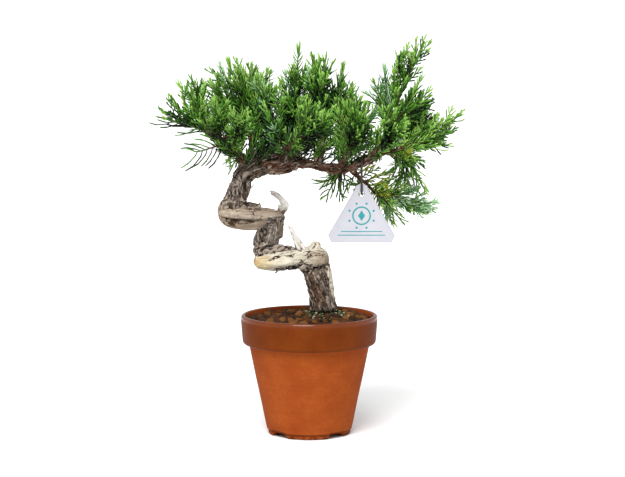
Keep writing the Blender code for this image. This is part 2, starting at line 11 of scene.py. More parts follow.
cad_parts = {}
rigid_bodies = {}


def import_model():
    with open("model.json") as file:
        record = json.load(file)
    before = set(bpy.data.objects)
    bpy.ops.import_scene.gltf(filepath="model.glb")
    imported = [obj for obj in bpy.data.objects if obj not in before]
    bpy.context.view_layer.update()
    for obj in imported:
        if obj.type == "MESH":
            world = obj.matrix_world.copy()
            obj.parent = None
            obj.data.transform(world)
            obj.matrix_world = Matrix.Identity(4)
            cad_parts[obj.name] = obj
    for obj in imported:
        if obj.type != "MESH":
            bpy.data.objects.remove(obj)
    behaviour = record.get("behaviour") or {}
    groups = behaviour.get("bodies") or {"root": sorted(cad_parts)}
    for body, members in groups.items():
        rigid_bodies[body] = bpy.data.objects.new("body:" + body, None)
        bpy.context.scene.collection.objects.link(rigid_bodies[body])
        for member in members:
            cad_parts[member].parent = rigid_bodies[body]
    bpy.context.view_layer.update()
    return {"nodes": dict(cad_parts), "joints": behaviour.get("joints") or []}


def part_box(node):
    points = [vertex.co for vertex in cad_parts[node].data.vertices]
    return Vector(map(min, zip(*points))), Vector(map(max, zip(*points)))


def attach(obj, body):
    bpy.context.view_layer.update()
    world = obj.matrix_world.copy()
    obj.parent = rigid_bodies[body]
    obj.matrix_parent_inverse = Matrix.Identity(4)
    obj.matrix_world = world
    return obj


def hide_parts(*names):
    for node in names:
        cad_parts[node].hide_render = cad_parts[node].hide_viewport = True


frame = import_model()
mm = 0.001
goldenAngle = math.pi * (3 - math.sqrt(5))
noise.seed_set(2)  # or its vectors differ from run to run
lightFrom = (-0.2, -0.85, 1.1)
upward = np.array((0.0, 0.0, 1.0))
towardFront = np.array((0.0, -1.0, 0.0))
lightShare = 0.5  # finishes are named as they look in the studio light, which is brighter than one


def paint(red, green, blue, lift=1.0):
    # a screen colour, 0 to 255, as the linear base colour that shows it
    share = np.array((red, green, blue)) / 255
    linear = np.where(share <= 0.04045, share / 12.92, ((share + 0.055) / 1.055) ** 2.4)
    return (*(linear * lightShare * lift), 1.0)


def fill(made, inputs):
    # each input of a node as a value, or as a link from another node's output
    for key, value in inputs.items():
        if isinstance(value, bpy.types.NodeSocket):
            made.id_data.links.new(value, made.inputs[key])
        else:
            made.inputs[key].default_value = value
    return made


def wire(tree, kind, inputs, output=0, **settings):
    # a new node's output
    made = tree.nodes.new(kind)
    for key, value in settings.items():
        setattr(made, key, value)
    return fill(made, inputs).outputs[output]


def treeOf(*values):
    # the tree that the sockets among some values are in
    return next(value.id_data for value in values if isinstance(value, bpy.types.NodeSocket))


def calculate(operation, *values, clamp=False):
    settings = {"operation": operation, "use_clamp": clamp}
    return wire(treeOf(*values), "ShaderNodeMath", dict(enumerate(values)), **settings)


def times(first, second):
    return calculate("MULTIPLY", first, second)


def plus(first, second):
    return calculate("ADD", first, second)


def minus(first, second, clamp=False):
    return calculate("SUBTRACT", first, second, clamp=clamp)


def timesPlus(first, second, third):
    return calculate("MULTIPLY_ADD", first, second, third)


def vectorOf(operation, first, second):
    return wire(treeOf(first, second), "ShaderNodeVectorMath", {0: first, 1: second}, operation=operation)


def scaled(vector, scale):
    return wire(vector.id_data, "ShaderNodeVectorMath", {0: vector, 3: scale}, operation="SCALE")


def xyz(x, y, z):
    return wire(treeOf(x, y, z), "ShaderNodeCombineXYZ", {0: x, 1: y, 2: z})


def coordinate(vector, index):
    return wire(vector.id_data, "ShaderNodeSeparateXYZ", {0: vector}, index)


def fromAxis(vector):
    # the distance from the Z axis
    level = vectorOf("MULTIPLY", vector, (1, 1, 0))
    return wire(vector.id_data, "ShaderNodeVectorMath", {0: level}, "Value", operation="LENGTH")


def stretched(place, size, stretch):
    # a place counted in cells of a size, drawn out along Z
    tree = place.id_data
    rate = wire(tree, "ShaderNodeMath", {0: 1.0, 1: size}, operation="DIVIDE")
    return vectorOf("MULTIPLY", place, xyz(rate, rate, calculate("DIVIDE", rate, stretch)))


def noiseOf(place, detail=2.0, scale=1.0, roughness=0.5):
    inputs = {"Vector": place, "Scale": scale, "Detail": detail, "Roughness": roughness}
    return wire(place.id_data, "ShaderNodeTexNoise", inputs)


def between(value, low, high, first=0.0, last=1.0):
    # a smooth step of the value from low to high
    inputs = {"Value": value, "From Min": low, "From Max": high, "To Min": first, "To Max": last}
    return wire(value.id_data, "ShaderNodeMapRange", inputs, "Result", interpolation_type="SMOOTHSTEP")


def blend(share, first, last):
    return wire(share.id_data, "ShaderNodeMix", {0: share, 2: first, 3: last}, data_type="FLOAT")


def mixColour(share, first, last, way="MIX"):
    inputs = {0: share, 6: first, 7: last}
    return wire(share.id_data, "ShaderNodeMix", inputs, 2, data_type="RGBA", blend_type=way)


def tinted(ground, mask, share, colour, way="MIX"):
    return mixColour(times(mask, share), ground, colour, way)


def newTree(name, kind, inputs, outputs):
    # a node tree with named inputs, each given as its first value or its kind
    tree = bpy.data.node_groups.new(name, kind)
    kinds = {float: "Float", int: "Int", tuple: "Vector"}
    for label, value in inputs.items():
        socketKind = value if isinstance(value, str) else kinds[type(value)]
        socket = tree.interface.new_socket(label, in_out="INPUT", socket_type="NodeSocket" + socketKind)
        if socketKind != value:
            socket.default_value = value
    for label, socketKind in outputs.items():
        tree.interface.new_socket(label, in_out="OUTPUT", socket_type="NodeSocket" + socketKind)
    return tree, tree.nodes.new("NodeGroupInput").outputs, tree.nodes.new("NodeGroupOutput").inputs


def newGeometry(name, inputs):
    # a geometry tree, with the geometry in first and out last
    return newTree(name, "GeometryNodeTree", {"Geometry": "Geometry", **inputs}, {"Geometry": "Geometry"})


def named(tree, label, kind="FLOAT"):
    return wire(tree, "GeometryNodeInputNamedAttribute", {"Name": label}, "Attribute", data_type=kind)


def dealt(tree, kind, low, high, seed):
    # a random value for each point
    first = {"FLOAT_VECTOR": 0, "FLOAT": 2, "INT": 4}[kind]
    inputs = {first: low, first + 1: high, "Seed": seed}
    return wire(tree, "FunctionNodeRandomValue", inputs, first // 2, data_type=kind)


def baked(obj):
    # the evaluated result as a plain mesh, with no modifier left
    bpy.context.view_layer.update()
    graph = bpy.context.evaluated_depsgraph_get()
    shown = obj.evaluated_get(graph)
    mesh = bpy.data.meshes.new_from_object(shown, preserve_all_data_layers=True, depsgraph=graph)
    obj.modifiers.clear()
    obj.data = mesh
    return obj


def runTree(obj, tree, values):
    modifier = obj.modifiers.new(tree.name, "NODES")
    modifier.node_group = tree
    for item in tree.interface.items_tree:
        if item.item_type == "SOCKET" and item.in_out == "INPUT" and item.name in values:
            modifier[item.identifier] = values[item.name]
    return baked(obj)


def linked(name, data):
    obj = bpy.data.objects.new(name, data)
    bpy.context.scene.collection.objects.link(obj)
    return obj


def newObject(name, verts, faces=(), edges=(), smooth=True):
    mesh = bpy.data.meshes.new(name)
    mesh.from_pydata(*([tuple(item) for item in items] for items in (verts, edges, faces)))
    mesh.polygons.foreach_set("use_smooth", [smooth] * len(mesh.polygons))
    return linked(name, mesh)


def fromBmesh(name, bm, smooth=True):
    bmesh.ops.recalc_face_normals(bm, faces=bm.faces)
    mesh = bpy.data.meshes.new(name)
    bm.to_mesh(mesh)
    bm.free()
    mesh.polygons.foreach_set("use_smooth", [smooth] * len(mesh.polygons))
    return linked(name, mesh)


def faceOut(obj):
    # turns its faces outwards
    bm = bmesh.new()
    bm.from_mesh(obj.data)
    bmesh.ops.recalc_face_normals(bm, faces=bm.faces)
    bm.to_mesh(obj.data)
    bm.free()


def wall(rows, sides, closed=False):
    # the quads between rings of corners
    faces = []
    for i in range(rows if closed else rows - 1):
        near, far = i * sides, (i + 1) % rows * sides
        for k in range(sides):
            after = (k + 1) % sides
            faces.append((near + k, near + after, far + after, far + k))
    return faces


def ends(rows, sides):
    return [tuple(range(sides))[::-1], tuple(range((rows - 1) * sides, rows * sides))]


def attribute(obj, label, values, kind="FLOAT"):
    key = {"FLOAT": "value", "INT": "value", "FLOAT_VECTOR": "vector", "FLOAT_COLOR": "color"}[kind]
    layer = obj.data.attributes.new(label, kind, "POINT")
    layer.data.foreach_set(key, np.asarray(values, np.int32 if kind == "INT" else np.float32).ravel())


def triangles(obj):
    return sum(len(face.vertices) - 2 for face in obj.data.polygons)


def settle(obj, body, replaced=()):
    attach(obj, body)
    if replaced:
        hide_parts(*replaced)
    print(f"{obj.name}: {triangles(obj)} triangles")


# Shader groups: each is used by several finishes.


def buildMottle():
    # patches of a noise, drawn out along one axis
    inputs = {"Vector": "Vector", "Size": 10 * mm, "Stretch": 1.0, "Detail": 3.0, "Contrast": 0.5}
    tree, into, out = newTree("mottle", "ShaderNodeTree", inputs, {"Mask": "Float"})
    wave = noiseOf(stretched(into["Vector"], into["Size"], into["Stretch"]), into["Detail"])
    low = minus(0.5, times(into["Contrast"], 0.5))
    tree.links.new(between(wave, low, plus(low, into["Contrast"])), out["Mask"])
    return tree


def buildCrevice():
    # darkens the low parts of a relief with their darker colour and painted shade, and lightens its edges
    # with wear and a painted highlight
    inputs = {"Colour": "Color", "Crack Shade Colour": "Color", "Relief": 0.0, "Low": -1.0, "High": 0.0, "Wear And Highlight": 0.2}
    tree, into, out = newTree("crevice", "ShaderNodeTree", inputs, {"Colour": "Color"})
    above = between(into["Relief"], into["Low"], into["High"])
    filled = mixColour(above, into["Crack Shade Colour"], into["Colour"])
    # the edge lightening: wear and a painted highlight
    edge = times(between(into["Relief"], 0.05, 0.6), into["Wear And Highlight"])
    tree.links.new(mixColour(edge, filled, (0.75, 0.62, 0.5, 1), "SCREEN"), out["Colour"])
    return tree


def buildPores():
    # a fine bump, as a normal
    inputs = {"Vector": "Vector", "Size": 1 * mm, "Strength": 0.4, "Depth": 0.3 * mm}
    tree, into, out = newTree("pores", "ShaderNodeTree", inputs, {"Normal": "Vector"})
    wave = noiseOf(scaled(into["Vector"], calculate("DIVIDE", 1.0, into["Size"])), 5.0, roughness=0.65)
    bump = {"Strength": into["Strength"], "Distance": into["Depth"], "Height": wave}
    tree.links.new(wire(tree, "ShaderNodeBump", bump), out["Normal"])
    return tree


groups = {"mottle": buildMottle(), "crevice": buildCrevice(), "pores": buildPores()}


def use(name, inputs):
    made = treeOf(*inputs.values()).nodes.new("ShaderNodeGroup")
    made.node_tree = groups[name]
    return fill(made, inputs).outputs[0]


def mottle(place, size, contrast, detail=3.0, stretch=1.0):
    inputs = {"Vector": place, "Size": size, "Stretch": stretch, "Detail": detail, "Contrast": contrast}
    return use("mottle", inputs)


def pores(place, size, strength, depth):
    return use("pores", {"Vector": place, "Size": size, "Strength": strength, "Depth": depth})


def newMaterial(name, colour, roughness, specular=0.5, fixed=None):
    made = bpy.data.materials.new(name)
    made.use_nodes = True
    shader = made.node_tree.nodes["Principled BSDF"]
    inputs = {"Base Color": colour, "Roughness": roughness, "Specular IOR Level": specular}
    fill(shader, inputs | (fixed or {}))
    return made, made.node_tree, shader


def objectPlace(tree):
    return wire(tree, "ShaderNodeTexCoord", {}, "Object")


def read(tree, label, output="Fac"):
    return wire(tree, "ShaderNodeAttribute", {}, output, attribute_name=label)


# Reading the frame: closed copies of the CAD meshes, and the centreline of each limb.


def mergedCopy(*nodes):
    bm = bmesh.new()
    for node in nodes:
        bm.from_mesh(frame["nodes"][node].data)
    bmesh.ops.remove_doubles(bm, verts=bm.verts, dist=0.01 * mm)
    return bm


def skinOf(*nodes):
    # the outside of some CAD pieces, to cast rays on, and its corners
    bm = mergedCopy(*nodes)
    bmesh.ops.recalc_face_normals(bm, faces=bm.faces)
    skin, corners = BVHTree.FromBMesh(bm), np.array([vert.co for vert in bm.verts])
    bm.free()
    return skin, corners


def unit(vector):
    return vector / max(np.linalg.norm(vector), 1e-12)


def sectionOf(ring, axis):
    # centre and area of a slice, its points put in order round their mean
    first = unit(np.cross(axis, (0.3, 0.9, 0.2)))
    second = np.cross(axis, first)
    flat = np.stack([(ring - ring.mean(axis=0)) @ first, (ring - ring.mean(axis=0)) @ second], axis=1)
    flat = flat[np.argsort(np.arctan2(flat[:, 1], flat[:, 0]))]
    after = np.roll(flat, -1, axis=0)
    cross = flat[:, 0] * after[:, 1] - after[:, 0] * flat[:, 1]
    area = cross.sum() / 2
    middle = ((flat + after) * cross[:, None]).sum(axis=0) / (6 * area)
    return ring.mean(axis=0) + middle[0] * first + middle[1] * second, area


limbSlices = {"count": 10, "margin": 0.08, "facetShare": 1.03}


def limbLine(node, way=None):
    # rows of x, y, z and radius along a CAD limb, thick end first or the given way
    bm = mergedCopy(node)
    corners = np.array([vert.co for vert in bm.verts])
    middle = corners.mean(axis=0)
    axis = np.linalg.svd(corners - middle, full_matrices=False)[2][0] if way is None else np.array(way, float)
    along = (corners - middle) @ axis
    margin = limbSlices["margin"]
    centres, areas = [], []
    for share in np.linspace(margin, 1 - margin, limbSlices["count"]):
        cut = bm.copy()
        parts = cut.verts[:] + cut.edges[:] + cut.faces[:]
        plane = middle + axis * (along.min() + share * np.ptp(along))
        found = bmesh.ops.bisect_plane(cut, geom=parts, plane_co=plane, plane_no=axis)["geom_cut"]
        ring = np.array([item.co for item in found if isinstance(item, bmesh.types.BMVert)])
        centre, area = sectionOf(ring, axis)
        centres.append(centre)
        areas.append(area)
        cut.free()
    bm.free()
    centres = np.array(centres)
    ahead = np.gradient(centres, axis=0)
    ahead /= np.linalg.norm(ahead, axis=1)[:, None]
    radii = np.sqrt(np.abs(areas) * np.abs(ahead @ axis) / math.pi) * limbSlices["facetShare"]
    rows = np.hstack([centres, radii[:, None]])
    past = margin / ((1 - 2 * margin) / (limbSlices["count"] - 1))
    rows = np.vstack([rows[0] + past * (rows[0] - rows[1]), rows, rows[-1] + past * (rows[-1] - rows[-2])])
    rows[:, 3] = np.maximum(rows[:, 3], 0.2 * mm)
    if way is None and rows[:4, 3].mean() < rows[-4:, 3].mean():
        rows = rows[::-1]
    return rows


def smoothLine(rows, spacing):
    # Catmull-Rom through the rows, evenly spaced
    padded = np.vstack([2 * rows[0] - rows[1], rows, 2 * rows[-1] - rows[-2]])
    path = []
    for i in range(1, len(padded) - 2):
        before, start, end, after = padded[i - 1 : i + 3]
        steps = max(1, round(np.linalg.norm((end - start)[:3]) / spacing))
        t = (np.arange(steps) / steps)[:, None]
        square = 2 * before - 5 * start + 4 * end - after
        cube = 3 * start - before - 3 * end + after
        path.append(0.5 * (2 * start + (end - before) * t + square * t**2 + cube * t**3))
    path.append(rows[-1:])
    path = np.vstack(path)
    path[:, 3] = np.maximum(path[:, 3], 0.15 * mm)
    return path


def axesAlong(path, front=None):
    # at each row: the way ahead, the front and the side; the front turns as little as it can
    ahead = np.gradient(path[:, :3], axis=0)
    ahead /= np.linalg.norm(ahead, axis=1)[:, None]
    fronts = np.empty_like(ahead)
    turning = np.cross(ahead[0], (0.31, 0.2, 0.93)) if front is None else front
    for i, way in enumerate(ahead):
        turning = turning if front is None else front
        turning = unit(turning - way * (turning @ way))
        fronts[i] = turning
    return ahead, fronts, np.cross(ahead, fronts)


trunkWays = {
    "trunk_foot": (0, 0, 1),
    "trunk_lower_turn": (-1, 0, 0),
    "trunk_middle": (0, 0, 1),
    "trunk_upper_turn": (-1, 0, 0),
    "trunk_rise": (0, 0, 1),
    "trunk_top": (1, 0, 0),
}
spikeNames = [name for name in frame["nodes"] if name.startswith("jin_")]
boughNames = [name for name in frame["nodes"] if name.startswith("bough_")]
massNames = sorted(name for name in frame["nodes"] if name.startswith("mass_"))


# What a limb's radius is multiplied by at its foot and at its tip, and the rows cut off its tip.
limbEnds = {
    "jin_stub": (1.15, 0.62, 0),
    "jin_upper": (1.05, 2.0, 0),
    "jin_lower": (1.0, 1.5, 0),
    "trunk_upper_turn": (1.0, 1.0, 4),
}


class Limb:
    # a limb's smooth centreline, with its axes and the distance run
    def __init__(self, node, way=None, front=None, spacing=1 * mm, rows=None):
        self.node = node
        self.path = smoothLine(limbLine(node, way) if rows is None else np.array(rows) * mm, spacing)
        foot, tip, cut = limbEnds.get(node, (1.0, 1.0, 0))
        self.path = self.path[: len(self.path) - cut]
        self.path[:, 3] *= np.linspace(foot, tip, len(self.path))
        self.ahead, self.front, self.side = axesAlong(self.path, front)
        step = np.linalg.norm(np.diff(self.path[:, :3], axis=0), axis=1)
        self.run = np.concatenate([[0.0], np.cumsum(step)])
        self.share = self.run / self.run[-1]


limbs = {name: Limb(name, way, towardFront) for name, way in trunkWays.items()}
limbs |= {name: Limb(name, (0, 0, 1), towardFront, 0.5 * mm) for name in spikeNames}
limbs |= {name: Limb(name) for name in boughNames}
print(f"read {len(limbs)} limbs")


# Trunk: each row of forms is a ridge, or a groove if its depth is negative: turn, width, depth, from, to.
# Turn runs round the limb in degrees: 0 faces the front, 90 faces right on a rising limb and up on a turn.

trunkForms = {
    "trunk_foot": [
        (48, 8, -1.6, 0.2, 0.95), (-35, 12, -1.0, 0.3, 0.9), (2, 10, -1.1, 0.1, 0.7),
        (150, 20, 1.2, 0.1, 0.9), (-120, 12, -1.2, 0.2, 0.9),
    ],
    "trunk_lower_turn": [
        (38, 14, 0.9, 0.15, 0.9), (-46, 8, -1.9, 0.08, 0.85), (-68, 15, 1.1, 0.05, 0.7),
        (8, 26, -0.7, 0.2, 0.9), (180, 16, -1.2, 0.1, 0.9), (128, 14, 0.8, 0.1, 0.9),
    ],
    "trunk_middle": [
        (-24, 9, -1.5, 0.1, 0.95), (22, 8, -1.7, 0.05, 0.9), (56, 10, 1.2, 0.1, 1.0),
        (-70, 12, -1.3, 0.1, 0.9), (180, 18, -1.6, 0.1, 0.9), (120, 12, -1.2, 0.1, 0.9),
    ],
    "trunk_upper_turn": [
        (14, 11, 2.1, 0.1, 0.9), (-9, 4, -3.0, 0.5, 0.93), (-14, 8, -0.9, 0.1, 0.5),
        (58, 24, -1.7, 0.12, 0.88), (-36, 8, -1.0, 0.05, 0.9), (-60, 12, 0.8, 0.1, 0.9),
        (108, 14, 1.4, 0.1, 0.9), (175, 12, -1.6, 0.08, 0.92), (-120, 14, -1.1, 0.1, 0.9),
    ],
    "trunk_rise": [
        (24, 8, -1.8, 0.1, 1.0), (-28, 9, -1.2, 0.0, 0.9), (54, 12, 1.0, 0.1, 1.0),
        (-78, 12, -1.2, 0.1, 0.9), (150, 14, -1.5, 0.1, 0.9),
    ],
    "stub_base": [(-30, 20, -3.2, 0.5, 0.88), (40, 24, 0.8, 0.3, 1.0)],
    "trunk_top": [
        (14, 9, -1.3, 0.05, 1.0), (-24, 9, -1.1, 0.1, 1.0), (46, 9, -1.0, 0.1, 1.0),
        (78, 12, 0.8, 0.1, 1.0), (-66, 12, 0.9, 0.1, 1.0), (160, 14, -1.4, 0.1, 1.0),
    ],
}
# Wood and bark that carries on from one limb to the next: x, y, z and radius in millimetres.
trunkBridges = {
    "shoulder": [
        (3, 2, 180, 8), (10, 2.5, 179, 7.6), (15, 1.5, 170, 6.2), (17.6, 1, 160, 4.8), (18.6, 2, 148, 3.4),
        (21, 4, 137, 2),
    ],
    "stub_base": [(1, -2.5, 181, 6.5), (4.4, -2.5, 188, 6.2), (7, -2, 193.4, 5.2), (8.6, -1.5, 197, 4.6)],
    "upper_bulb": [
        (-84.5, -12, 226.4, 9.4), (-81, -12, 226, 11), (-74, -11, 224.8, 12), (-62, -7.5, 222.4, 12),
        (-52, -4, 221, 10),
    ],
    "lower_fillet": [(-14, -3, 177, 7), (-4, 0, 174, 9), (5, 3, 166, 11), (8, 4, 156, 11)],
    "bark_fold": [
        (-55, -14, 187.5, 3.4), (-47, -15, 190, 5.4), (-36, -12, 190.6, 5.6), (-25, -9, 189.8, 4.2),
        (-14, -6, 189, 2.6),
    ],
    "middle_right": [(-36, -2, 199, 9.2), (-35, 0, 209, 9), (-34.2, 1.5, 218, 8.8), (-32.5, 3, 225, 5.5)],
    "lower_middle": [(-50, -13, 182, 7), (-47.5, -11, 189, 9), (-45.4, -8, 196, 8.6)],
    "upper_left": [(-86, -12, 223, 8), (-84, -11, 230, 8), (-80, -9.5, 238, 8)],
    "rise_fold": [
        (-89, -13, 236.6, 2.2), (-83, -16, 238, 3.2), (-73, -15, 238, 3.2), (-61, -12, 236, 2.6),
        (-49, -9, 233.6, 1.7),
    ],
    "crown_bend": [(-71, -4, 256, 9.5), (-67, -2.5, 263, 10), (-59, 0, 269.5, 10.4)],
}
trunkMesh = {
    "sides": 40,
    "voxel": 0.62 * mm,
    "smoothing": 9,
    "flareHeight": 9 * mm,
    "flareDepth": 2.6 * mm,
    "flareLobes": 5,
    "swell": 0.9,
}


def wrapped(degrees):
    return (np.asarray(degrees) + 180) % 360 - 180


def window(share, start, end, soft=0.08):
    # one between start and end, fading over a soft edge
    rise = np.clip((share - start) / soft + 0.5, 0, 1)
    fall = np.clip((end - share) / soft + 0.5, 0, 1)
    return rise * fall


def trunkSwell(limb, turn, share, run):
    # metres added to the radius, by turn in degrees and place along the limb
    angle = np.radians(turn)
    swell = 0.45 * np.sin(2 * angle + run / (16 * mm)) + 0.3 * np.sin(3 * angle - run / (11 * mm) + 1.1)
    swell = (swell + 0.2 * np.sin(5 * angle + run / (8 * mm) + 2.3)) * trunkMesh["swell"] * mm
    if limb.node == "trunk_foot":
        lobes = 0.45 + 0.55 * np.cos(trunkMesh["flareLobes"] * angle + 0.6)
        swell = swell + trunkMesh["flareDepth"] * lobes * np.exp(-run / trunkMesh["flareHeight"])
    return swell


def rounded(limb, reach=0.55):
    # a share of the radius that rounds both ends of a limb in
    away = np.minimum(limb.run, limb.run[-1] - limb.run)
    near = np.clip(away / (reach * max(limb.path[:, 3].max(), 1e-6)), 0, 1)
    return np.maximum(np.sqrt(1 - (1 - near) ** 2), 0.12)


def tube(limb, sides, swell=None):
    # a closed tube round the limb, rounded at its ends
    turn = 360 * np.arange(sides) / sides
    grid = np.meshgrid(limb.run, turn, indexing="ij")
    share = np.meshgrid(limb.share, turn, indexing="ij")[0]
    radius = limb.path[:, 3][:, None] + (swell(limb, grid[1], share, grid[0]) if swell else 0)
    radius = np.maximum(radius * rounded(limb)[:, None], 0.12 * mm)
    cos, sin = np.cos(np.radians(grid[1]))[..., None], np.sin(np.radians(grid[1]))[..., None]
    ring = limb.front[:, None] * cos + limb.side[:, None] * sin
    points = (limb.path[:, None, :3] + ring * radius[..., None]).reshape(-1, 3)
    return points, wall(len(limb.run), sides) + ends(len(limb.run), sides)


def joined(name, parts):
    verts, faces, count = [], [], 0
    for points, polygons in parts:
        verts.append(points)
        faces += [tuple(i + count for i in face) for face in polygons]
        count += len(points)
    return newObject(name, np.vstack(verts), faces)


def fused(obj, voxel, smoothing):
    # one skin over overlapping tubes
    faceOut(obj)
    remesh = obj.modifiers.new("skin", "REMESH")
    remesh.mode = "VOXEL"
    remesh.voxel_size = voxel
    remesh.use_smooth_shade = True
    smooth = obj.modifiers.new("smooth", "SMOOTH")
    smooth.factor = 0.5
    smooth.iterations = smoothing
    return baked(obj)


def vectorsOf(items, key):
    values = np.empty(len(items) * 3, np.float32)
    items.foreach_get(key, values)
    return values.reshape(-1, 3).astype(float)


batch = 8000  # vertices measured at once


def straighten(obj, members):
    # for each vertex: its limb, the share along it, the turn round it and its place, with its grain kept
    places = vectorsOf(obj.data.vertices, "co")
    best = np.full(len(places), np.inf)
    owner = np.zeros(len(places), int)
    share, turn = np.zeros(len(places)), np.zeros(len(places))
    straight, ahead = np.zeros((len(places), 3)), np.zeros((len(places), 3))
    offset = 0.0
    for index, limb in enumerate(members):
        for start in range(0, len(places), batch):
            part = slice(start, start + batch)
            gap = places[part, None, :] - limb.path[None, :, :3]
            score = np.linalg.norm(gap, axis=2) - limb.path[None, :, 3]
            row = score.argmin(axis=1)
            low = score[np.arange(len(row)), row]
            better = np.flatnonzero(low < best[part])
            rows, target = row[better], better + start
            out = gap[better, rows]
            forward, side = (out * limb.front[rows]).sum(axis=1), (out * limb.side[rows]).sum(axis=1)
            best[target] = low[better]
            owner[target] = index
            share[target] = limb.share[rows]
            turn[target] = np.degrees(np.arctan2(side, forward))
            run = offset + limb.run[rows] + (out * limb.ahead[rows]).sum(axis=1)
            straight[target] = np.stack([forward, side, run], axis=1)
            ahead[target] = limb.ahead[rows]
        offset += limb.run[-1]
    attribute(obj, "grain", straight, "FLOAT_VECTOR")
    attribute(obj, "ahead", ahead, "FLOAT_VECTOR")
    return owner, share, turn, places


def carve(obj, members, forms, straightened):
    # pushes each limb's ridges out and its grooves in
    owner, share, turn, places = straightened
    depth = np.zeros(len(places))
    for index, limb in enumerate(members):
        mine = np.flatnonzero(owner == index)
        run = share[mine] * limb.run[-1]
        for centre, width, height, start, end in forms.get(limb.node, []):
            drift = 7 * np.sin(run / (9 * mm) + centre)
            away = wrapped(turn[mine] - centre - drift) / width
            depth[mine] += height * mm * np.exp(-(away**2)) * window(share[mine], start, end, 0.16)
    normals = vectorsOf(obj.data.vertex_normals, "vector")
    obj.data.vertices.foreach_set("co", (places + normals * depth[:, None]).astype(np.float32).ravel())


# Woods and barks, as they look in the light.
woodLift = {"cream": 1.25, "yellowWood": 1.15, "whiteWood": 1.4, "paleWood": 1.1}
woodPaints = {
    "greyBark": (118, 103, 91),
    "furrowBark": (132, 121, 114),
    "riseBark": (112, 99, 90),
    "footBark": (104, 88, 75),
    "darkBark": (80, 66, 57),
    "brownBark": (104, 76, 56),
    "pinkBark": (146, 114, 92),
    "redBark": (118, 74, 50),
    "topBark": (96, 76, 58),
    "cream": (246, 238, 218),
    "yellowWood": (238, 212, 156),
    # painted highlight along the upper turn's ridge
    "ridgeWood": (232, 214, 194),
    # painted shade in cracks and hollows
    "deepWood": (52, 40, 32),
    "tanWood": (204, 182, 156),
    "warmTan": (234, 212, 190),
    # painted light on the upper turn's lower front, much lighter than the wood looks there
    "lowTan": (210, 190, 164),
    "greyWood": (160, 145, 128),
    "paleWood": (214, 200, 180),
    "whiteWood": (246, 243, 236),
}
# How far a bark runs in long strands, and not in plates.
stringyBarks = {
    "brownBark": 0.7,
    "redBark": 1.0,
    "topBark": 1.0,
    "furrowBark": 0.65,
    "riseBark": 0.8,
    "footBark": 0.6,
    "pinkBark": 0.6,
    "darkBark": 0.5,
}


def whole(finish, bare=0):
    # a patch that covers a limb
    return finish, 0, 180, -1, 2, bare


# Each limb's own finish, then patches: finish, turn, half width, from, to, bare. Bare wood has no bark.
trunkPatches = {
    "trunk_foot": [
        whole("footBark"), ("pinkBark", -10, 26, 0.2, 0.62, 0), ("brownBark", -58, 34, 0.1, 0.95, 0),
        ("darkBark", 34, 24, 0.1, 0.66, 0), ("darkBark", -40, 40, 0.86, 1.1, 0),
        ("cream", 78, 24, 0.3, 1.3, 1), ("paleWood", 160, 26, 0.2, 1.2, 1),
    ],
    "trunk_lower_turn": [
        whole("cream", 1), ("yellowWood", -10, 50, 0.8, 1.1, 1), ("greyBark", -76, 30, -0.2, 0.72, 0),
        ("tanWood", -20, 60, -0.2, 0.2, 1), ("greyBark", -60, 26, -0.2, 0.3, 0),
        ("greyWood", 160, 40, 0.1, 0.9, 0.7),
    ],
    "trunk_middle": [
        whole("furrowBark"), ("darkBark", -30, 22, 0.1, 0.7, 0), ("greyWood", 76, 18, 0.1, 1.1, 0.8),
    ],
    "trunk_upper_turn": [
        whole("greyWood", 0.75), ("warmTan", 66, 54, 0.1, 1.1, 1), ("tanWood", 74, 30, 0.82, 1.0, 1),
        # a painted highlight along the ridge, and painted light on the lower front
        ("ridgeWood", 14, 13, 0.15, 0.97, 1), ("lowTan", -40, 34, 0.4, 1.1, 1),
        # painted shade in the crack under the ridge
        ("deepWood", -9, 2.2, 0.52, 0.9, 0.9), ("furrowBark", -60, 76, -0.1, 0.34, 0),
        ("tanWood", 170, 30, 0.2, 1.0, 1),
    ],
    "trunk_rise": [
        whole("riseBark"), ("brownBark", 62, 44, 0.05, 1.2, 0), ("darkBark", 40, 16, 0.1, 1.2, 0),
        ("darkBark", -24, 9, 0.2, 0.9, 0),
    ],
    "trunk_top": [whole("topBark"), ("riseBark", -40, 50, -0.2, 0.32, 0), ("redBark", 50, 60, 0.45, 1.3, 0)],
    # painted shade in the stub's hollow
    "stub_base": [whole("cream", 1), ("deepWood", -30, 14, 0.5, 0.86, 0.9)],
    "shoulder": [
        whole("greyBark"), ("cream", -80, 80, -1, 0.3, 1), ("paleWood", -92, 66, 0.2, 2, 1),
        ("tanWood", -60, 26, 0.35, 0.8, 1),
    ],
    "lower_fillet": [whole("greyBark"), ("cream", 40, 60, -1, 0.3, 1)],
    "bark_fold": [whole("greyBark"), ("darkBark", -30, 40, -1, 2, 0)],
    "middle_right": [whole("greyBark"), ("greyWood", 70, 40, -1, 0.9, 0.7)],
    "lower_middle": [whole("greyBark")],
    "upper_left": [("paleWood", 0, 180, -1, 0.35, 1), ("greyBark", 0, 180, 0.5, 2, 0)],
    "rise_fold": [whole("greyBark")],
    "crown_bend": [("riseBark", 0, 180, -1, 0.6, 0), ("topBark", 0, 180, 0.5, 2, 0)],
}


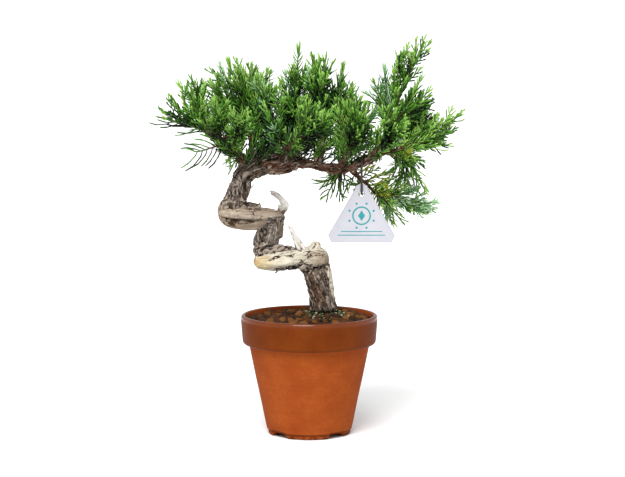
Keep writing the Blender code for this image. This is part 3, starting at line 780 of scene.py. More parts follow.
def dealPatches(obj, members, patches, straightened):
    # blends each limb's patches into a colour and a bareness at every vertex
    owner, share, turn, places = straightened
    wander = np.array([noise.noise(Vector(place) * 140) for place in places])
    fray = np.array([noise.noise(Vector(place) * 520) for place in places])
    colour, bare, stringy = np.zeros((len(places), 4)), np.zeros(len(places)), np.zeros(len(places))
    for index, limb in enumerate(members):
        mine = np.flatnonzero(owner == index)
        for finish, centre, half, start, end, bareness in patches[limb.node]:
            shift = 16 * wander[mine] + 9 * fray[mine]
            inside = (half - np.abs(wrapped(turn[mine] - centre)) + shift) / 7 + 0.5
            weight = np.clip(inside, 0, 1) if half < 180 else np.ones(len(mine))
            soft = 0.22 if bareness == 1 else 0.06
            weight = weight * window(share[mine] + 0.07 * wander[mine], start, end, soft)
            shown = np.array(paint(*woodPaints[finish], woodLift.get(finish, 1.0)))
            colour[mine] += (shown - colour[mine]) * weight[:, None]
            bare[mine] += (bareness - bare[mine]) * weight
            stringy[mine] += (stringyBarks.get(finish, 0.0) - stringy[mine]) * weight
    attribute(obj, "ground", colour, "FLOAT_COLOR")
    attribute(obj, "bare", bare)
    attribute(obj, "stringy", stringy)


def buildRelief():
    # bark plates, fibres and cracks, pushed in or out along the normal, with their sizes in millimetres
    inputs = {
        "Plate Size": 6.0,
        "Plate Stretch": 2.8,
        "Plate Depth": 1.35,
        "Chip Size": 2.4,
        "Chip Depth": 0.45,
        "Strand Size": 2.8,
        "Strand Depth": 1.1,
        "Fibre Size": 1.2,
        "Fibre Depth": 0.55,
        "Wood Depth": 0.4,
        "Crack Depth": 1.0,
        "Seed": 3,
    }
    tree, into, out = newGeometry("barkRelief", inputs)
    grain = scaled(named(tree, "grain", "FLOAT_VECTOR"), 1 / mm)
    bare, stringy = named(tree, "bare"), named(tree, "stringy")
    warp = {"Vector": grain, "Scale": 0.11, "Detail": 3.0, "W": into["Seed"]}
    wave = wire(tree, "ShaderNodeTexNoise", warp, "Color", noise_dimensions="4D")
    bend = vectorOf("SUBTRACT", wave, (0.5, 0.5, 0.5))
    slant = xyz(0.0, times(coordinate(grain, 2), 0.22), 0.0)
    place = vectorOf("ADD", vectorOf("ADD", grain, scaled(bend, 9.0)), slant)

    def crackAt(cells):
        return wire(tree, "ShaderNodeTexVoronoi", cells, "Distance", feature="DISTANCE_TO_EDGE")

    def cells(size, stretch, crack, gateSize, gateLow):
        # cracks round cells, open only in places, and each cell's own lift
        cut = {"Vector": stretched(place, size, stretch), "Scale": 1.0}
        gate = noiseOf(stretched(place, gateSize, 1.5))
        opened = between(gate, gateLow, gateLow + 0.16, 0.25, 1.0)
        gap = times(between(crackAt(cut), 0.0, crack, -1.0, 0.0), opened)
        lift = coordinate(wire(tree, "ShaderNodeTexVoronoi", cut, "Color", feature="F1"), 0)
        return timesPlus(lift, 0.6, gap)

    def strands(size, stretch, roughness, depth):
        wave = noiseOf(stretched(place, size, stretch), 3.0, roughness=roughness)
        return times(minus(wave, 0.5), depth)

    plate = times(cells(into["Plate Size"], into["Plate Stretch"], 0.12, 8.0, 0.4), into["Plate Depth"])
    chip = times(cells(into["Chip Size"], 1.7, 0.16, 5.0, 0.46), into["Chip Depth"])
    strand = times(cells(into["Strand Size"], 11.0, 0.2, 6.0, 0.4), into["Strand Depth"])
    fibre = strands(into["Fibre Size"], 6.0, 0.6, times(into["Fibre Depth"], 2.4))
    bark = plus(blend(stringy, plus(plate, chip), strand), fibre)
    splits = crackAt({"Vector": stretched(place, 4.2, 9.0), "Scale": 1.0})
    parted = between(noiseOf(stretched(place, 9.0, 2.5), 1.0), 0.47, 0.6)
    split = times(between(splits, 0.0, 0.1, -1.0, 0.0), parted)
    wood = timesPlus(split, into["Crack Depth"], strands(1.5, 14.0, 0.55, times(into["Wood Depth"], 2.2)))
    height = blend(bare, bark, wood)
    offset = scaled(wire(tree, "GeometryNodeInputNormal", {}), times(height, mm))
    moved = wire(tree, "GeometryNodeSetPosition", {"Geometry": into[0], "Offset": offset})
    store = {"Geometry": moved, "Name": "relief", "Value": height}
    kept = wire(tree, "GeometryNodeStoreNamedAttribute", store, data_type="FLOAT", domain="POINT")
    return tree, kept, out


def closeTree(tree, geometry, out, materials):
    # Realize Instances, then a material, or one for each value of the attribute "tint"
    last = wire(tree, "GeometryNodeRealizeInstances", {"Geometry": geometry})
    if len(materials) == 1:
        last = wire(tree, "GeometryNodeSetMaterial", {"Geometry": last, "Material": materials[0]})
    else:
        tint = named(tree, "tint", "INT")
        for index, material in enumerate(materials):
            same = wire(tree, "FunctionNodeCompare", {2: tint, 3: index}, data_type="INT", operation="EQUAL")
            inputs = {"Geometry": last, "Selection": same, "Material": material}
            last = wire(tree, "GeometryNodeSetMaterial", inputs)
    tree.links.new(last, out["Geometry"])
    return tree


def standing(primary, secondary):
    # a rotation that puts Z and X on two ways
    axes = {"Primary Axis": primary, "Secondary Axis": secondary}
    return wire(primary.id_data, "FunctionNodeAxesToRotation", axes, primary_axis="Z", secondary_axis="X")


def swayed(rotation, low, high, seed):
    # the rotation with a small turn of each point's own
    tree = rotation.id_data
    sway = wire(tree, "FunctionNodeEulerToRotation", {0: dealt(tree, "FLOAT_VECTOR", low, high, seed)})
    return wire(tree, "FunctionNodeRotateRotation", {0: rotation, 1: sway}, rotation_space="LOCAL")


def placeShapes(points, shapes, inputs):
    # one of a collection's shapes on each point
    pick = {"Collection": shapes, "Separate Children": True, "Reset Children": True}
    shape = wire(points.id_data, "GeometryNodeCollectionInfo", pick)
    put = {"Points": points, "Instance": shape, "Pick Instance": True, **inputs}
    return wire(points.id_data, "GeometryNodeInstanceOnPoints", put)


def barkMaterial(name, moss):
    made, tree, shader = newMaterial(name, paint(*woodPaints["greyBark"]), 0.85, 0.12)
    grain, place = read(tree, "grain", "Vector"), objectPlace(tree)
    bare, ground = read(tree, "bare"), read(tree, "ground", "Color")
    streaks, patches = mottle(grain, 1.6 * mm, 0.45, 4.0, 7.0), mottle(grain, 7 * mm, 0.35, stretch=2.0)
    ground = tinted(ground, streaks, 0.55, (0.42, 0.4, 0.38, 1), "MULTIPLY")
    ground = tinted(ground, patches, 0.35, (0.5, 0.42, 0.34, 1), "MULTIPLY")
    lichen = minus(mottle(place, 3.2 * mm, 0.12, 5.0), 0.55, clamp=True)
    ground = tinted(ground, times(lichen, minus(0.9, bare, clamp=True)), 0.22, paint(186, 176, 160))
    # cracks take a darker inside colour with painted shade; raised edges take wear and a painted highlight
    deep = mixColour(bare, paint(26, 20, 17), paint(84, 60, 40))
    carved = {"Colour": ground, "Crack Shade Colour": deep, "Relief": read(tree, "relief")}
    ground = use("crevice", carved | {"Low": -0.75, "High": 0.05, "Wear And Highlight": 0.3})
    low = between(coordinate(place, 2), moss, moss + 9 * mm, 1.0, 0.0)
    ground = tinted(ground, low, mottle(place, 1.8 * mm, 0.2, 4.0), paint(84, 98, 50))
    normal = pores(place, 0.5 * mm, 0.5, 0.25 * mm)
    fill(shader, {"Base Color": ground, "Roughness": blend(bare, 0.9, 0.68), "Normal": normal})
    return made


reliefTree, reliefResult, reliefOut = buildRelief()
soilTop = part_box("soil")[1].z
barkFinish = barkMaterial("bark and bare wood", soilTop - 2 * mm)
closeTree(reliefTree, reliefResult, reliefOut, [barkFinish])


def buildTrunk():
    members = [limbs[name] for name in trunkWays]
    members += [Limb(name, None, towardFront, rows=rows) for name, rows in trunkBridges.items()]
    trunk = joined("trunk", [tube(limb, trunkMesh["sides"], trunkSwell) for limb in members])
    fused(trunk, trunkMesh["voxel"], trunkMesh["smoothing"])
    painted = [limb for limb in members if limb.node in trunkPatches]
    straightened = straighten(trunk, painted)
    dealPatches(trunk, painted, trunkPatches, straightened)
    carve(trunk, painted, trunkForms, straightened)
    runTree(trunk, reliefTree, {"Seed": 3})
    settle(trunk, "plant", trunkWays)
    return trunk


spikeMesh = {"sides": 20, "voxel": 0.3 * mm, "smoothing": 1}
# Splinters beside the spikes: x, y, z and radius in millimetres.
splinters = {
    "splinterLowA": [(-8, -8, 186, 2.2), (-11.5, -8.6, 191.5, 1.5), (-15, -8.8, 198, 0.7)],
    "splinterLowB": [(-4, -6, 186, 2.4), (-5.6, -7, 191, 1.7), (-8.6, -7.4, 196, 0.8)],
    "splinterLowC": [(-13, -7, 186, 2.0), (-15.6, -7.6, 190, 1.3), (-18, -8, 193.6, 0.6)],
    "splinterLowD": [(-14, -7, 203, 1.5), (-19, -8.4, 209, 1.1), (-21.6, -8.6, 215, 0.5)],
    "splinterHighA": [(-27, 2, 226, 2.4), (-24.4, 3.4, 231.5, 1.6), (-24.6, 4, 237, 0.8)],
    "splinterHighB": [(-31, 3, 227, 2.2), (-30, 4.4, 231, 1.6), (-31.4, 5, 234.6, 0.7)],
    "splinterHighC": [(-27, 7, 239, 1.6), (-32, 8, 244, 1.4), (-37, 8, 247, 1.1), (-41, 8, 247.4, 0.6)],
}


def buildSpikes():
    # the three dead spikes, bleached, with fine lengthwise splits
    members = [limbs[name] for name in spikeNames]

    def swell(limb, turn, share, run):
        angle = np.radians(turn)
        waves = 0.16 * np.sin(3 * angle + run / (3 * mm)) + 0.1 * np.sin(5 * angle - run / (4 * mm))
        return limb.path[:, 3][:, None] * waves

    members += [Limb(name, None, towardFront, 0.5 * mm, rows) for name, rows in splinters.items()]
    spikes = joined("dead_spikes", [tube(limb, spikeMesh["sides"], swell) for limb in members])
    fused(spikes, spikeMesh["voxel"], spikeMesh["smoothing"])
    patches = {name: [whole("whiteWood", 1), ("tanWood", 0, 181, -0.2, 0.2, 1)] for name in spikeNames}
    patches["jin_stub"] = [whole("cream", 1), ("tanWood", 60, 50, 0.3, 1, 1)]
    patches |= {name: [whole("whiteWood", 1), ("greyWood", 0, 181, -0.3, 0.3, 1)] for name in splinters}
    dealPatches(spikes, members, patches, straighten(spikes, members))
    runTree(spikes, reliefTree, {"Wood Depth": 0.2, "Crack Depth": 0.35, "Seed": 11})
    settle(spikes, "plant", spikeNames)


boughMesh = {
    "sides": 16,
    "voxel": 0.5 * mm,
    "smoothing": 2,
    "stubs": 46,
    "stubLength": (2.0, 4.5),
    "stubRadius": (0.6, 1.1),
}


def boughSwell(limb, turn, share, run):
    angle = np.radians(turn)
    knots = 0.16 * np.sin(run / (6 * mm) + limb.path[0, 0] * 900) + 0.1 * np.sin(run / (2.7 * mm))
    around = 0.1 * np.sin(2 * angle + run / (9 * mm)) + 0.08 * np.sin(3 * angle - run / (6 * mm))
    collar = 0.5 * np.exp(-run / (5 * mm))
    return limb.path[:, 3][:, None] * (knots + around + collar)


def stub(limb, dice):
    # a short broken twig, standing off a bough
    row = dice.randrange(len(limb.run) // 6, len(limb.run) - 2)
    turn = dice.uniform(0, 2 * math.pi)
    out = unit(math.cos(turn) * limb.front[row] + math.sin(turn) * limb.side[row] + 0.5 * limb.ahead[row])
    length = (limb.path[row, 3] + dice.uniform(*boughMesh["stubLength"]) * mm) / 3
    radius = dice.uniform(*boughMesh["stubRadius"]) * mm
    ways = np.cross(out, (0.2, 0.5, 0.84))
    first, second = unit(ways), np.cross(out, unit(ways))
    rows, sides, points = 4, 6, []
    for i in range(rows):
        for k in range(sides):
            angle = 2 * math.pi * k / sides
            spoke = radius * (1.2 - 0.2 * i) * (math.cos(angle) * first + math.sin(angle) * second)
            points.append(limb.path[row, :3] + out * length * i + spoke)
    return np.array(points), wall(rows, sides) + ends(rows, sides)


tagJoint = frame["joints"][0]
tagHinge = Vector(tagJoint["pos_m"])
strapRest = {"side": 2.4 * mm, "radius": 4.6 * mm, "reach": 8.0 * mm, "below": 6.6 * mm, "clear": 6.0 * mm}


def pressUnderStrap(obj):
    # the bark pressed smooth where the tag's strap goes round the bough, with no flakes beside it
    worn = []
    for vert in obj.data.vertices:
        side = abs(vert.co.x - tagHinge.x)
        out, up = vert.co.y - tagHinge.y, vert.co.z - tagHinge.z
        reach = math.hypot(out, up)
        worn.append(float(side < strapRest["clear"] and reach < 2 * strapRest["clear"]))
        limit = strapRest["below"] if out > 0 and up < 0 else strapRest["reach"]
        if side < strapRest["side"] and strapRest["radius"] < reach < limit:
            vert.co.y = tagHinge.y + out * strapRest["radius"] / reach
            vert.co.z = tagHinge.z + up * strapRest["radius"] / reach
    attribute(obj, "worn", worn)


def buildBoughs():
    dice = random.Random(5)
    members = [limbs[name] for name in boughNames]
    parts = [tube(limb, boughMesh["sides"], boughSwell) for limb in members]
    parts += [stub(limbs[dice.choice(boughNames)], dice) for _ in range(boughMesh["stubs"])]
    boughs = joined("boughs", parts)
    fused(boughs, boughMesh["voxel"], boughMesh["smoothing"])
    patches = {name: [whole("redBark"), ("darkBark", 110, 50, 0.1, 0.9, 0)] for name in boughNames}
    for name in ("bough_right_inner", "bough_right"):
        patches[name] = [whole("redBark"), ("brownBark", 20, 30, 0, 1, 0), ("darkBark", -70, 40, 0, 1, 0)]
    dealPatches(boughs, members, patches, straighten(boughs, members))
    plates = {"Plate Size": 2.4, "Plate Stretch": 5.0, "Plate Depth": 0.5}
    runTree(boughs, reliefTree, plates | {"Fibre Size": 0.9, "Fibre Depth": 0.3, "Seed": 8})
    pressUnderStrap(boughs)
    settle(boughs, "plant", boughNames)
    return boughs


trunk = buildTrunk()
buildSpikes()
boughs = buildBoughs()


# Bark flakes: thin curved plates, lifted at one end.

flakes = {
    "length": (3.0, 6.5),
    "width": (1.1, 2.4),
    "thickness": 0.25,
    "curl": 0.9,
    "kinds": 5,
    "trunkApart": 7.5 * mm,
    "boughApart": 4.6 * mm,
}


def flakeShape(name, dice):
    # a torn strip along X, thicker in the middle, that curls up at its far end
    length, width = (dice.uniform(*flakes[key]) * mm for key in ("length", "width"))
    rows = []
    for i in range(5):
        t = i / 4
        half = 0.5 * width * (0.35 + 0.65 * math.sin(math.pi * (0.2 + 0.65 * t))) * dice.uniform(0.8, 1.2)
        lift = flakes["curl"] * mm * t**2
        drift = dice.uniform(-0.2, 0.2) * mm
        rows.append((length * (t - 0.25), half, lift, drift))
    thick = flakes["thickness"] * mm
    verts, faces = [], []
    for x, half, z, drift in rows:
        verts += [(x, drift - half, z), (x, drift, z + thick)]
        verts += [(x, drift + half, z), (x, drift, z - thick * 0.5)]
    for i in range(4):
        faces += [(4 * i + k, 4 * i + 4 + k, 4 * i + 4 + (k + 1) % 4, 4 * i + (k + 1) % 4) for k in range(4)]
    faces += [(0, 1, 2, 3), (19, 18, 17, 16)]
    return newObject(name, verts, faces, smooth=False)


def hiddenSet(name, shapes):
    # shapes kept aside in a collection, for a tree to pick from
    kept = bpy.data.collections.new(name)
    bpy.context.scene.collection.children.link(kept)
    for shape in shapes:
        for old in shape.users_collection:
            old.objects.unlink(shape)
        kept.objects.link(shape)
    return kept


def discard(kept):
    for obj in list(kept.objects):
        bpy.data.objects.remove(obj)
    bpy.data.collections.remove(kept)


def buildFlakeTree(material):
    inputs = {"Flakes": "Collection", "Apart": 3 * mm, "Tilt": 0.35, "Seed": 1}
    tree, into, out = newGeometry("barkFlakes", inputs)
    barky = calculate("LESS_THAN", plus(named(tree, "bare"), named(tree, "worn")), 0.4)
    spread = {"Mesh": into[0], "Selection": barky, "Distance Min": into["Apart"]}
    spread |= {"Density Max": 2.5e5, "Seed": into["Seed"]}
    points = wire(tree, "GeometryNodeDistributePointsOnFaces", spread, distribute_method="POISSON")
    lie = standing(points.node.outputs["Normal"], named(tree, "ahead", "FLOAT_VECTOR"))
    tilt = xyz(into["Tilt"], into["Tilt"], into["Tilt"])
    low, high = vectorOf("MULTIPLY", (0.6, -1.0, 0.9), tilt), vectorOf("MULTIPLY", (-0.6, 0.2, -0.9), tilt)
    size = dealt(tree, "FLOAT", 0.6, 1.3, into["Seed"])
    put = {"Rotation": swayed(lie, low, high, into["Seed"]), "Scale": size}
    return closeTree(tree, placeShapes(points, into["Flakes"], put), out, [material])


def flakeMaterial(name, light, dark):
    made, tree, shader = newMaterial(name, light, 0.9, 0.25)
    streaks = mottle(objectPlace(tree), 2.2 * mm, 0.4, stretch=1.5)
    fill(shader, {"Base Color": tinted(light, streaks, 0.75, dark)})
    return made


def buildFlakes():
    dice = random.Random(12)
    shapes = hiddenSet("flakeShapes", [flakeShape(f"flake{i}", dice) for i in range(flakes["kinds"])])
    greyFlakes = flakeMaterial("grey flakes", paint(146, 132, 120), paint(78, 66, 58))
    redFlakes = flakeMaterial("red-brown flakes", paint(136, 92, 66), paint(70, 46, 36))
    for name, ground, apart, slot, finish, seed in (
        ("trunk_flakes", trunk, flakes["trunkApart"], "bark", greyFlakes, 2),
        ("bough_flakes", boughs, flakes["boughApart"], "shoot_bark", redFlakes, 4),
    ):
        piece = linked(name, ground.data.copy())
        runTree(piece, buildFlakeTree(finish), {"Flakes": shapes, "Apart": apart, "Seed": seed})
        settle(piece, "plant")
    discard(shapes)


buildFlakes()


# Pot: a turned profile, worked out from the CAD pot's box.

pot = {
    "steps": 160,
    "lipWidth": 4.6 * mm,
    "collarHeight": 29.5 * mm,
    "collarTaper": 1.8 * mm,
    "neckInset": 8.4 * mm,
    "footShare": 0.6086,
    "wall": 5 * mm,
    "floor": 8 * mm,
    "recess": 3 * mm,
    "ring": 6 * mm,
    "drain": 8 * mm,
    "bandHeight": 5.2 * mm,
    "notchHeight": 4.4 * mm,
    "notchHalfTurn": 15,
    "notchBearings": (42, 132, 222, 312),
    "uneven": 0.22 * mm,
}
# Worn spots: bearing in degrees from the front, height, half size and depth.
potChips = [
    (-14, 0.5, 5.0, 0.9), (9, 0.3, 3.5, 0.6), (31, 0.8, 3.0, 0.8), (-36, 1.2, 3.2, 0.9),
    (150, 0.6, 4.0, 0.9), (-110, 0.7, 3.4, 0.8), (38, 121.6, 2.2, 0.35), (-64, 121.8, 2.6, 0.35),
    (171, 121.7, 3.0, 0.5),
]


def arc(centre, radius, start, end, steps):
    turns = np.radians(np.linspace(start, end, steps + 1))
    return [(centre[0] + radius * math.cos(turn), centre[1] + radius * math.sin(turn)) for turn in turns]


def straightRun(start, end, steps):
    return [tuple(np.array(start) + (np.array(end) - np.array(start)) * i / steps) for i in range(1, steps)]


def potProfile():
    top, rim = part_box("pot")[1].z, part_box("pot")[1].x
    neck = top - pot["collarHeight"]
    foot, neckRadius = rim * pot["footShare"], rim - pot["neckInset"]
    band = foot + 0.9 * mm
    slope = (neckRadius - foot) / neck
    collarFoot = rim - pot["collarTaper"]
    inner = rim - pot["lipWidth"]
    ringInner = foot - pot["ring"]
    points = [(pot["drain"], pot["recess"]), (ringInner - 2.5 * mm, pot["recess"])]
    points += [(ringInner - 0.6 * mm, 0.7 * mm), (ringInner + 0.8 * mm, 0)]
    points += arc((foot - 2 * mm, 1.4 * mm), 1.4 * mm, -90, 0, 4)
    points += [(foot - 0.75 * mm, 3.2 * mm), (foot - 0.7 * mm, pot["bandHeight"] - 1.0 * mm)]
    points += arc((band - 1.1 * mm, pot["bandHeight"] + 0.6 * mm), 1.3 * mm, -60, 10, 4)
    side = (foot + slope * 10 * mm, 10 * mm)
    points += [side] + straightRun(side, (neckRadius, neck - 1.2 * mm), 22)
    points += [(neckRadius, neck - 1.2 * mm), (neckRadius + 0.35 * mm, neck - 0.25 * mm)]
    points += arc((collarFoot - 3.6 * mm, neck + 3.6 * mm), 3.6 * mm, -88, 0, 7)
    points += straightRun((collarFoot, neck + 3.6 * mm), (rim, top - 2.6 * mm), 8)
    points += arc((rim - 2.6 * mm, top - 2.4 * mm), 2.4 * mm, 0, 88, 7)
    points += arc((inner + 1.5 * mm, top - 1.5 * mm), 1.5 * mm, 95, 180, 5)
    points += [(inner - 0.4 * mm, top - 9 * mm), (inner - 0.8 * mm, neck + 4 * mm)]
    points += [(foot + slope * z - pot["wall"], z) for z in (neck - 6 * mm, pot["floor"])]
    return points + [(pot["drain"], pot["floor"])]


def notchRise(bearing):
    # how far the foot is raised at a bearing
    nearest = min(abs(wrapped(bearing - centre)) for centre in pot["notchBearings"])
    share = max(0.0, 1 - (nearest / pot["notchHalfTurn"]) ** 2)
    return pot["notchHeight"] * min(1.0, 1.35 * math.sqrt(share)) if share > 0 else 0.0


def potMaterial(neck, rim, top):
    fixed = {"Coat Roughness": 0.12, "Coat IOR": 1.35}
    made, tree, shader = newMaterial("terracotta", paint(190, 85, 36), 0.8, 0.07, fixed)
    place = objectPlace(tree)
    height = coordinate(place, 2)
    edge = timesPlus(mottle(place, 9 * mm, 0.9), 1.2 * mm, neck - 0.8 * mm)
    collar = between(height, edge, plus(edge, 0.7 * mm))
    outside = between(fromAxis(place), rim - 4.4 * mm, rim - 3.2 * mm)
    lip = between(height, top - 0.9 * mm, top - 0.2 * mm)
    glazed = times(collar, calculate("MAXIMUM", outside, lip))
    broad, fine = mottle(place, 24 * mm, 0.5, 4.0), mottle(place, 3.2 * mm, 0.55, 5.0)
    clay = mixColour(broad, paint(184, 84, 30), paint(204, 102, 40))
    clay = tinted(clay, fine, 0.4, paint(168, 72, 26))
    clay = tinted(clay, mottle(place, 60 * mm, 0.5, stretch=0.03), 0.28, paint(164, 78, 30))
    glaze = mixColour(broad, paint(126, 52, 0), paint(144, 66, 2))
    glaze = tinted(glaze, fine, 0.4, paint(118, 52, 8))
    glaze = tinted(glaze, lip, 0.5, paint(96, 44, 18))
    # darker towards the bottom, in mottled patches
    darkerBase = times(between(height, 0.0, 7.5 * mm, 1.0, 0.0), mottle(place, 4.5 * mm, 0.22, 5.0))
    # painted shade just under the foot's band, where it stands out
    ledge = times(between(height, 2.6 * mm, 4.4 * mm), between(height, 5.0 * mm, 6.4 * mm, 1.0, 0.0))
    clay = tinted(clay, calculate("MAXIMUM", darkerBase, times(ledge, 0.55)), 0.85, paint(70, 34, 20))
    shine = timesPlus(between(height, top - 6 * mm, top - 1.2 * mm), 0.9, 0.03)
    looks = {
        "Base Color": mixColour(glazed, clay, glaze),
        "Roughness": timesPlus(glazed, -0.26, timesPlus(fine, 0.08, 0.78)),
        "Coat Weight": times(glazed, shine),
        "Normal": pores(place, 0.8 * mm, 0.22, 0.2 * mm),
    }
    fill(shader, looks)
    return made


def buildPot():
    top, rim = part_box("pot")[1].z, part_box("pot")[1].x
    profile = potProfile()
    steps = pot["steps"]
    ringInner = rim * pot["footShare"] - pot["ring"]
    limit = 9 * mm
    bm = bmesh.new()
    loops = []
    for step in range(steps):
        bearing = 360 * step / steps
        angle = math.radians(bearing)
        rise = notchRise(bearing)
        loop = []
        for radius, z in profile:
            if radius > ringInner - 1.5 * mm and z < limit:
                z = rise + z * (1 - rise / limit)
            wobble = noise.noise(Vector((math.cos(angle), math.sin(angle), z * 18)) * 2.2)
            radius += pot["uneven"] * wobble
            for front, height, size, depth in potChips:
                away = math.radians(wrapped(bearing - 270 - front)) * radius / mm
                gone = (away / size) ** 2 + ((z / mm - height) / (0.6 * size)) ** 2
                if gone < 4 and radius > ringInner:
                    radius -= depth * mm * math.exp(-gone)
            loop.append(bm.verts.new((radius * math.cos(angle), radius * math.sin(angle), max(z, 0.0))))
        loops.append(loop)
    count = len(profile)
    for loop, after in zip(loops, loops[1:] + loops[:1]):
        for k in range(count):
            bm.faces.new((loop[k], after[k], after[(k + 1) % count], loop[(k + 1) % count]))
    piece = fromBmesh("pot_shell", bm)
    piece.data.materials.append(potMaterial(top - pot["collarHeight"], rim, top))
    settle(piece, "plant", ["pot"])


buildPot()


# Soil: a dark rough bed, then lumps, grit and moss strewn over it.

soil = {
    "radiusInset": 4.9 * mm,
    "steps": 96,
    "rings": 30,
    "rough": 1.1 * mm,
    "lumpApart": 8.2 * mm,
    "gritApart": 2.3 * mm,
    "mossApart": 1.5 * mm,
    "mossReach": 30 * mm,
    "lumpClear": 21 * mm,
    "wallClear": 7.5 * mm,
    "gritClear": 2 * mm,
}


def soilSurface():
    # the top of the CAD soil, as a height at any place
    skin, edge = skinOf("soil")[0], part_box("soil")[1].z

    def height(x, y):
        hit = skin.ray_cast(Vector((x, y, edge + 10 * mm)), Vector((0, 0, -1)))[0]
        return hit.z if hit is not None else None

    return height


def buildSoilBed():
    height = soilSurface()
    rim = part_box("pot")[1].x - soil["radiusInset"]
    low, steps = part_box("soil")[0].z, soil["steps"]
    edgeHeight = height(rim - 8 * mm, 0)
    verts = []
    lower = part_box("pot")[1].x * pot["footShare"] - pot["wall"]
    sides = [(lower - 1 * mm, low), (rim - 9.5 * mm, edgeHeight - 32 * mm)]
    sides += [(rim - 0.6 * mm, edgeHeight - 16 * mm)]
    rows = sides + [(rim * (1 - i / soil["rings"]), None) for i in range(soil["rings"])]
    for radius, z in rows:
        for step in range(steps):
            angle = 2 * math.pi * step / steps
            x, y = radius * math.cos(angle), radius * math.sin(angle)
            if z is None:
                found = height(x, y)
                ground = edgeHeight if found is None else found
                ground += soil["rough"] * noise.noise(Vector((x, y, 0.0)) * 320)
            else:
                ground = z
            verts.append((x, y, ground))
    faces = wall(len(rows), steps) + ends(len(rows), steps)
    bed = newObject("soil_bed", verts, faces)
    made, tree, shader = newMaterial("damp soil", paint(62, 42, 28), 0.95, 0.2)
    place = objectPlace(tree)
    ground = mixColour(mottle(place, 4 * mm, 0.4, 5.0), paint(44, 30, 21), paint(98, 66, 40))
    fill(shader, {"Base Color": ground, "Normal": pores(place, 1 * mm, 0.9, 0.6 * mm)})
    bed.data.materials.append(made)
    settle(bed, "plant", ["soil"])
    first = len(sides) * steps
    topFaces = [tuple(i - first for i in face) for face in faces if min(face) >= first]
    return newObject("soilTop", verts[first:], topFaces)


def lumpShape(name, dice, subdivisions, flat):
    # an uneven crumb of unit radius
    bm = bmesh.new()
    bmesh.ops.create_icosphere(bm, subdivisions=subdivisions, radius=1)
    shift = Vector([dice.uniform(-50, 50) for _ in range(3)])
    stretch = Vector((dice.uniform(0.85, 1.25), dice.uniform(0.75, 1.0), flat * dice.uniform(0.8, 1.0)))
    for vert in bm.verts:
        swell = 1 + 0.42 * noise.noise(vert.co * 1.4 + shift) + 0.26 * noise.noise(vert.co * 3.3 + shift)
        vert.co = Vector([a * b for a, b in zip(vert.co * swell, stretch)])
    return fromBmesh(name, bm, smooth=subdivisions > 1)


def buildScatterTree(name, materials):
    # crumbs on a surface, kept apart, within a reach of a centre, each with its own size, turn and tint
    inputs = {
        "Crumbs": "Collection",
        "Apart": 5 * mm,
        "Small": 2 * mm,
        "Large": 4 * mm,
        "Sink": 0.3,
        "Centre": (0, 0, 0),
        "Reach": 60 * mm,
        "Hole Centre": (0, 0, 0),
        "Hole": 0.0,
        "Seed": 1,
    }
    tree, into, out = newGeometry(name, inputs)
    seed, place = into["Seed"], wire(tree, "GeometryNodeInputPosition", {})
    away = fromAxis(vectorOf("SUBTRACT", place, into["Centre"]))
    hole = fromAxis(vectorOf("SUBTRACT", place, into["Hole Centre"]))
    spread = {"Mesh": into[0], "Distance Min": into["Apart"], "Density Max": 1e6, "Seed": seed}
    points = wire(tree, "GeometryNodeDistributePointsOnFaces", spread, distribute_method="POISSON")
    hole = timesPlus(noiseOf(place, scale=90.0), 14 * mm, minus(hole, 7 * mm))
    near = times(calculate("LESS_THAN", away, into["Reach"]), calculate("GREATER_THAN", hole, into["Hole"]))
    size = dealt(tree, "FLOAT", into["Small"], into["Large"], seed)
    turn = dealt(tree, "FLOAT_VECTOR", (0, 0, 0), (0.7, 0.7, 6.283), plus(seed, 1.0))
    down = xyz(0.0, 0.0, times(size, minus(0.5, into["Sink"])))
    lifted = wire(tree, "GeometryNodeSetPosition", {"Geometry": points, "Offset": down})
    put = {"Selection": near, "Rotation": wire(tree, "FunctionNodeEulerToRotation", {0: turn}), "Scale": size}
    tint = dealt(tree, "INT", 0, len(materials) - 1, seed)
    store = {"Geometry": placeShapes(lifted, into["Crumbs"], put), "Name": "tint", "Value": tint}
    placed = wire(tree, "GeometryNodeStoreNamedAttribute", store, data_type="INT", domain="INSTANCE")
    return closeTree(tree, placed, out, materials)


crumbPaints = {
    "lump": [(122, 74, 30), (98, 58, 24), (80, 46, 20), (132, 84, 38), (62, 38, 20)],
    "grit": [(64, 42, 24), (40, 28, 20), (96, 62, 32), (28, 22, 18)],
    "moss": [(78, 94, 44), (112, 126, 66), (52, 64, 34), (190, 194, 160), (34, 36, 26)],
}


def crumbMaterials(kind):
    made = []
    for i, colour in enumerate(crumbPaints[kind]):
        material, tree, shader = newMaterial(f"{kind} {i + 1}", paint(*colour), 0.95, 0.2)
        fill(shader, {"Normal": pores(objectPlace(tree), 0.9 * mm, 0.8, 0.5 * mm)})
        made.append(material)
    return made


